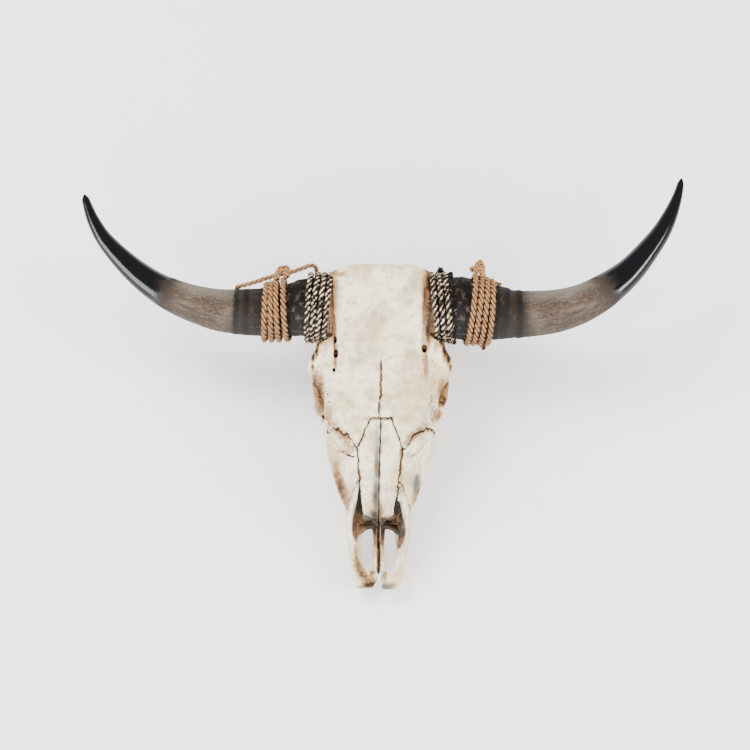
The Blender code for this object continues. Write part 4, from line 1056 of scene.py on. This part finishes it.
def horn_keratin():
    """Horn, streaked along its growth: rough and almost black at the root, glossy black at the tip."""
    paint = Paint("horn_keratin", .45)
    paint.shader.inputs["Specular IOR Level"].default_value = .20
    streaks = paint.cloud(paint.place((70, 620, 620), "grain"), 1.0, 6.0, .7)
    bands = paint.cloud(paint.place((30, 260, 260), "grain"), 1.0, 3.0)
    broad = paint.cloud(paint.place((16, 45, 45), "grain"), 1.0, 4.0)
    flecks = paint.cloud(paint.place((190, 480, 480), "grain"), 1.0, 3.0, .7)
    scuffs = paint.cloud(paint.place((330, 260, 260), "grain"), 1.0, 4.0, .7)
    knobby = paint.cloud(paint.place((130, 170, 170), "grain"), 1.0, 3.0)
    # grey-brown streaks and patches, scuffed, with a painted highlight on the side towards the poll
    # and painted shade on the side towards the muzzle
    colour = paint.coat((.098, .069, .049), (.040, .026, .018), streaks, .36, .64)
    colour = paint.coat(colour, (.028, .018, .012), bands, .48, .70, .65)
    colour = paint.coat(colour, (.155, .120, .092), broad, .50, .68, .60)
    colour = paint.coat(colour, (.042, .027, .019), broad, .49, .32, .75)
    colour = paint.coat(colour, (.185, .166, .142), paint.trait("poll_side"), .25, .95, .45)
    colour = paint.coat(colour, (.038, .026, .019), paint.trait("poll_side"), -.30, -.95, .45)
    colour = paint.coat(colour, (.270, .230, .190), scuffs, .56, .70, .50)
    colour = paint.coat(colour, (.030, .020, .014), scuffs, .44, .30, .60)
    # nearly black at the root, with painted highlights on its knobs, dark growth rings and a few pale flecks
    root = paint.times(paint.trait("dark_root"), paint.between(broad, .25, .75, .60, 1.25))
    colour = paint.coat(colour, (.0110, .0075, .0055), root, .02, .34, .92)
    colour = paint.coat(colour, (.0032, .0023, .0018), root, .45, .85, .96)
    knob_highlights = paint.times(paint.between(knobby, .52, .70), paint.between(root, .3, .8, 0, .50))
    colour = paint.layer(colour, (.100, .074, .056), knob_highlights)
    ring = paint.times(paint.trait("ring"), paint.between(streaks, .25, .65, .50, 1.1))
    colour = paint.coat(colour, (.0070, .0055, .0045), ring, .10, .75, .95)
    flecks = paint.times(paint.between(flecks, .60, .76, 0, .55), paint.between(root, .05, .40, 1, .12))
    colour = paint.layer(colour, (.360, .300, .240), flecks)
    # black at the tip, through a band of brown
    black = paint.sum(paint.trait("black_tip"), paint.between(broad, .30, .70, -.12, .12))
    black = paint.sum(black, paint.between(scuffs, .25, .75, -.05, .05))
    colour = paint.coat(colour, (.026, .018, .014), black, .04, .50, .92)
    black = paint.between(black, .35, .85)
    colour = paint.layer(colour, (.0012, .0013, .0020), black)
    gloss = paint.sum(paint.between(black, 0, 1, .80, .13), paint.between(scuffs, .45, .75, 0, .10))
    # the black tip is polished smooth
    rough = paint.sum(streaks, paint.times(flecks, .4))
    rough = paint.times(rough, paint.between(black, 0, 1, 1, .02))
    height = paint.sum(rough, paint.times(broad, .9))
    return paint.finish(colour, height, .0005, gloss)


keratin = horn_keratin()
right, left = Horn(HORN_RIGHT), Horn(HORN_LEFT)
horn_sheath("horn_right", right, RINGS_RIGHT, TIP_RIGHT, 21)
horn_sheath("horn_left", left, RINGS_LEFT, TIP_LEFT, 22)

# ---- Dark cord and tan rope ---------------------------------------------------------------------------
# Three-strand ropes wound tight round the horns' roots, four turns each, with painted shade between their
# strands and on the side towards the horn. The dark cord is black with its crowns rubbed pale, partly as a
# painted highlight on the outer side, and worn at its left end. The tan jute is tied off with a bight, tails
# and a thin tie.
# Thickness of each, and the length in which its strands go once round.
DARK_CORD, CORD_LAY = 0.0095, 0.0310
CORD_KNOT = 0.0080
TAN_ROPE, JUTE_LAY = 0.0092, 0.0285
TIE_ROPE, TIE_LAY = 0.0072, 0.0250
STRAY_STRAND, STRAY_LAY = 0.0060, 0.0220
STRAND_RADIUS, STRAND_OFFSET = 0.255, 0.245  # shares of the rope's thickness
ROPE_PACE = 0.0012  # between the rings of points along a strand
# How far out each turn crosses the horn's upper side.
CORD_TURNS = (.0840, .0940, .1040, .1140)
JUTE_TURNS_LEFT = (.1415, .1510, .1606, .1702)
JUTE_TURNS_RIGHT = (.1496, .1615, .1711, .1807)
# Knots and free ends: (out, degrees round the horn, gap to it); 0 is its upper side, 90 its poll side.
CORD_BUMP = ((.0900, 96, .0060), (.0935, 92, .0145), (.0975, 84, .0085))
LEFT_BIGHT = ((.1395, 62, .0060), (.1398, 78, .0140), (.1412, 87, .0235), (.1452, 90, .0288),
              (.1490, 87, .0235), (.1505, 78, .0140), (.1540, 62, .0060))
LEFT_TUCK = ((.1312, 93, .0120), (.1340, 89, .0150), (.1385, 84, .0175), (.1440, 82, .0190),
             (.1488, 76, .0130), (.1500, 64, .0080))
LEFT_TAIL = ((.1640, 232, .0070), (.1665, 250, .0090), (.1680, 265, .0150))
LEFT_STRAY = ((.1630, 94, .0070), (.1710, 92, .0050), (.1790, 84, .0035), (.1850, 76, .0035))
RIGHT_HITCH = ((.1600, 80, .0060), (.1575, 88, .0170), (.1525, 92, .0240), (.1465, 92, .0265),
               (.1405, 90, .0240), (.1395, 86, .0175), (.1440, 80, .0120), (.1490, 74, .0060))
RIGHT_KNOT = ((.1395, 72, .0100), (.1425, 78, .0190), (.1478, 80, .0220), (.1530, 79, .0195),
              (.1562, 73, .0100))
RIGHT_TIE = ((.1700, 205, .0060), (.1900, 185, .0045), (.2120, 155, .0041), (.2250, 125, .0041),
             (.2280, 102, .0042), (.2160, 90, .0062), (.1980, 90, .0103), (.1830, 90, .0142),
             (.1700, 90, .0155), (.1560, 90, .0170), (.1400, 90, .0165), (.1250, 90, .0155),
             (.1110, 91, .0190), (.1050, 94, .0195), (.1015, 106, .0165), (.1020, 128, .0150),
             (.1060, 150, .0150), (.1160, 172, .0150), (.1310, 192, .0125), (.1480, 204, .0060))


def stepped(points, pace):
    """The run with a point at every pace: how far along each is, the points, two directions square to it."""
    points = np.asarray(points, float)
    far = np.concatenate(([0], np.cumsum(np.linalg.norm(np.diff(points, axis=0), axis=1))))
    places = np.linspace(0, far[-1], max(int(far[-1] / pace), 4))
    points = np.stack([np.interp(places, far, points[:, k]) for k in range(3)], axis=1)
    runs = np.gradient(points, axis=0)
    runs /= np.linalg.norm(runs, axis=1)[:, None]
    across = np.cross(runs[0], (.3, .5, .8))
    sides = []
    for run in runs:
        across = across - run * (across @ run)
        across = across / np.linalg.norm(across)
        sides.append(across)
    sides = np.array(sides)
    return places, points, sides, np.cross(runs, sides)


def three_strands(points, thickness, lay, twist, rng, horn=None, sound=1.0):
    """A rope of three twisted strands along a run: its points, faces and traits.

    Bound round a horn, its crowns count as high only on the outer side: painted shade on the side towards the
    horn, pale crowns only outside. Past its sound share it is worn thin and dark."""
    around = 10
    far, centre, one, two = stepped(points, ROPE_PACE)
    away = np.zeros_like(centre)
    if horn:
        away = centre - horn.axis(centre)
        away /= np.linalg.norm(away, axis=1)[:, None]
    rows = len(far)
    ease = np.clip(np.minimum(np.arange(rows), rows - 1 - np.arange(rows)) / 2, .04, 1)
    spin = np.linspace(0, math.tau, around, endpoint=False)
    all_points, all_faces, all_traits = [], [], []
    worn = step(far / far[-1], sound, sound + .05)
    start = rng.uniform(0, 6)
    knots = np.arange(0, far[-1] + .02, .02)
    wander = np.interp(far, knots, rng.normal(0, .16, int(far[-1] / .02) + 2)[:len(knots)])
    for strand in range(3):
        angle = start + strand * math.tau / 3 + twist * math.tau * far / lay + wander
        thick = STRAND_RADIUS * thickness * (1 - .22 * worn)
        thick = thick * (1 + .06 * np.sin(far / .011 + 2 * strand) + .05 * np.sin(far / .0037 + strand))
        lead = one * np.cos(angle)[:, None] + two * np.sin(angle)[:, None]
        core = centre + lead * STRAND_OFFSET * thickness
        ray = one[:, None] * np.cos(spin)[None, :, None] + two[:, None] * np.sin(spin)[None, :, None]
        strand_points = core[:, None] + ray * (thick * ease)[:, None, None]
        offset = (strand_points - centre[:, None]) / (thickness / 2)
        reach = np.linalg.norm(offset, axis=2)
        # the side towards the horn counts as low: painted shade there, pale crowns only outside
        if horn:
            reach = reach - .55 * np.clip(.66 - np.sum(offset * away[:, None], axis=2), 0, 1)
        reach = reach - .22 * worn[:, None]
        all_faces.append(tube_faces(rows, around) + strand * rows * around)
        all_points.append(strand_points.reshape(-1, 3))
        turned = spin[None] - angle[:, None]
        fibre = np.stack((np.repeat(far, around), (.002 * np.cos(turned)).ravel(),
                          (.002 * np.sin(turned)).ravel() + strand * .1), axis=1)
        all_traits.append(np.concatenate((fibre, reach.reshape(-1, 1)), axis=1))
    return np.concatenate(all_points), np.concatenate(all_faces), np.concatenate(all_traits)


def loose_fibres(points, thickness, count, length, rng, lift=.35, coarse=.00015):
    """Fine curved hairs, three-sided, that stand off a rope."""
    rows, around = 6, 3
    far, centre, one, two = stepped(points, .003)
    runs = np.gradient(centre, axis=0)
    runs /= np.linalg.norm(runs, axis=1)[:, None]
    all_points, all_faces, all_traits = [], [], []
    for k in range(count):
        i = rng.integers(2, len(far) - 2)
        turn = rng.uniform(0, math.tau)
        away = one[i] * math.cos(turn) + two[i] * math.sin(turn)
        sweep = runs[i] * rng.choice((-1, 1)) + rng.normal(0, .35, 3)
        t = np.linspace(0, 1, rows)[:, None] * length * rng.uniform(.4, 1)
        hair = centre[i] + away * thickness * .44 + sweep * t + away * lift * t - away * 12 * t**2
        spin = np.array((0, 2.09, 4.19))  # thirds of a turn
        ray = one[i] * np.cos(spin)[:, None] + two[i] * np.sin(spin)[:, None]
        width = coarse * np.array((.9, 1, .9, .8, .6, .2))
        all_points.append((hair[:, None] + ray[None] * width[:, None, None]).reshape(-1, 3))
        all_faces.append(tube_faces(rows, around) + rows * around * k)
        all_traits.append(np.tile((far[i], 0, 0, 1.05), (rows * around, 1)))
    return np.concatenate(all_points), np.concatenate(all_faces), np.concatenate(all_traits)


def lay_rope(name, parts, paint):
    """Joins rope and hair parts, each (points, faces, traits), into the piece for one CAD rope."""
    points, faces, traits = zip(*parts)
    starts = np.cumsum([0] + [len(part) for part in points])
    faces = [part + start for part, start in zip(faces, starts)]
    traits = np.concatenate(traits)
    made = make_mesh(name + "_strands", np.concatenate(points), np.concatenate(faces),
                     {"fibre": traits[:, :3], "crown": traits[:, 3]})
    made.data.materials.append(paint)
    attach(made, "root")
    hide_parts(name)


def free_run(horn, run):
    """A smooth run from the places beside a horn."""
    return spline([Vector(horn.beside(*place)[0]) for place in run], 8)


def rubbed_cord():
    """Dark cord, its outer crowns rubbed pale, partly a painted highlight, with painted shade below them."""
    paint = Paint("rubbed_cord", .78)
    paint.shader.inputs["Specular IOR Level"].default_value = .20
    fibres = paint.cloud(paint.place((260, 3000, 3000), "fibre"), 1.0, 4.0, .7)
    patchy = paint.cloud(paint.place(), 210.0, 3.0)
    # pale on outer crowns, partly rubbed and partly a painted highlight; painted shade lower down
    rub_and_light = paint.sum(paint.trait("crown"), paint.between(patchy, .34, .66, -.20, .07))
    rub_and_light = paint.sum(rub_and_light, paint.between(fibres, .30, .70, -.11, .08))
    colour = paint.coat((.0050, .0038, .0030), (.060, .036, .024), rub_and_light, .62, .86)
    colour = paint.coat(colour, (.740, .575, .395), rub_and_light, .83, .97)
    return paint.finish(colour, fibres, .0007)


def tan_jute():
    """Jute: painted shade brown to near black between the strands, pale and fibrous on their crowns."""
    paint = Paint("tan_jute", .88)
    paint.shader.inputs["Specular IOR Level"].default_value = .20
    fibres = paint.cloud(paint.place((260, 3200, 3200), "fibre"), 1.0, 5.0, .75)
    patchy = paint.cloud(paint.place(), 90.0, 4.0)
    # painted shade, brown to near black, low between the strands and towards the horn
    colour = paint.coat((.030, .011, .004), (.300, .145, .060), paint.trait("crown"), .52, .86)
    colour = paint.coat(colour, (.620, .390, .200), fibres, .48, .64, .85)
    colour = paint.coat(colour, (.110, .048, .018), fibres, .46, .34, .70)
    colour = paint.coat(colour, (.180, .085, .036), patchy, .50, .72, .60)
    # painted shade near black, deepest between the strands and turns
    colour = paint.coat(colour, (.028, .010, .004), paint.trait("crown"), .78, .54)
    return paint.finish(colour, fibres, .0009)


def jute_ends(horn, runs, rng):
    """The ends and loops of the jute rope that stand clear of a horn."""
    return [three_strands(free_run(horn, run), TAN_ROPE, JUTE_LAY, -1, rng) for run in runs]


cord_paint, jute_paint = rubbed_cord(), tan_jute()
rng = np.random.default_rng(31)
cord = left.winding(CORD_TURNS, DARK_CORD, .005, lead_in=20, slip=.0100)
frayed_end = cord[738:784]  # where the worn last turn comes up and slips in under the one before
lay_rope("dark_cord_left", [
    three_strands(cord, DARK_CORD, CORD_LAY, 1, rng, left, sound=.74),
    three_strands(free_run(left, CORD_BUMP), CORD_KNOT, CORD_LAY, 1, rng, left),
    loose_fibres(frayed_end, .0060, 22, .030, rng, lift=.05, coarse=.00045),
    loose_fibres(cord, DARK_CORD, 120, .006, rng)], cord_paint)
cord = right.winding(CORD_TURNS, DARK_CORD, .006, lead_in=20)
lay_rope("dark_cord_right", [
    three_strands(cord, DARK_CORD, CORD_LAY, 1, rng, right),
    loose_fibres(cord, DARK_CORD, 120, .006, rng)], cord_paint)
jute = left.winding(JUTE_TURNS_LEFT, TAN_ROPE, .0012)
lay_rope("tan_rope_left", [
    three_strands(jute, TAN_ROPE, JUTE_LAY, -1, rng, left),
    *jute_ends(left, (LEFT_BIGHT, LEFT_TUCK, LEFT_TAIL), rng),
    three_strands(free_run(left, LEFT_STRAY), STRAY_STRAND, STRAY_LAY, -1, rng),
    loose_fibres(jute, TAN_ROPE, 900, .009, rng)], jute_paint)
jute = right.winding(JUTE_TURNS_RIGHT, TAN_ROPE, .003)
tie = free_run(right, RIGHT_TIE)
lay_rope("tan_rope_right", [
    three_strands(jute, TAN_ROPE, JUTE_LAY, -1, rng, right),
    *jute_ends(right, (RIGHT_HITCH, RIGHT_KNOT), rng),
    three_strands(tie, TIE_ROPE, TIE_LAY, -1, rng),
    loose_fibres(jute, TAN_ROPE, 900, .009, rng),
    loose_fibres(tie, TIE_ROPE, 260, .008, rng)], jute_paint)

# ---- Floor, light and camera --------------------------------------------------------------------------
# A plain pale floor under soft light from all round, two low lights in front that only show as the bright
# streaks on the polished horn tips, and a camera that looks down square on to the forehead.
bpy.ops.mesh.primitive_plane_add(size=30)
floor = bpy.context.object
floor.name = "floor"
paint = Paint("pale_floor", .9)
paint.shader.inputs["Base Color"].default_value = (.90, .90, .90, 1)
floor.data.materials.append(paint.material)
floor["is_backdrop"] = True

world = bpy.data.worlds.new("studio")
world.use_nodes = True
sky = world.node_tree.nodes["Background"].inputs
sky["Color"].default_value = (1, 1, 1, 1)
sky["Strength"].default_value = 0.95
bpy.context.scene.world = world

MIDDLE = on_face(0, .06) + SKULL_AT


def aim(thing, target):
    """Turns a lamp or the camera towards a point."""
    thing.rotation_euler = (target - thing.location).to_track_quat("-Z", "Y").to_euler()


# Name, place from the middle of the face, size, power, and whether it lights surfaces or only shows in gloss.
for name, place, size, power, lights_surfaces in (
        ("key_light", (-1.3, 1.5, 2.6), 1.3, 145, True),
        ("fill_light", (1.8, .3, 2.2), 2.0, 42, True),
        ("nose_light", (.2, -2.2, 1.6), 1.6, 60, True),
        ("right_light", (-2.3, -.5, 1.3), 1.4, 75, True),
        ("left_light", (2.3, -.5, 1.3), 1.4, 75, True),
        ("right_sheen", (-1.5, -1.8, .75), 1.6, 220, False),
        ("left_sheen", (1.4, -1.9, .75), .8, 95, False)):
    light = bpy.data.lights.new(name, "AREA")
    light.size = size
    light.energy = power
    lamp = bpy.data.objects.new(name, light)
    lamp.location = MIDDLE + Vector(place)
    aim(lamp, MIDDLE)
    lamp.visible_diffuse = lights_surfaces
    lamp.visible_glossy = not lights_surfaces
    bpy.context.scene.collection.objects.link(lamp)

VIEW_MIDDLE = (-.0093, .06758)  # out and along the face
CAMERA_AWAY = 3.2
LENS = 99.1  # in mm, for the photograph's framing
camera = bpy.data.objects.new("camera", bpy.data.cameras.new("camera"))
bpy.context.scene.collection.objects.link(camera)
bpy.context.scene.camera = camera
camera.data.lens = LENS
camera.location = on_face(*VIEW_MIDDLE, CAMERA_AWAY) + SKULL_AT
aim(camera, on_face(*VIEW_MIDDLE) + SKULL_AT)

low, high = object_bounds()
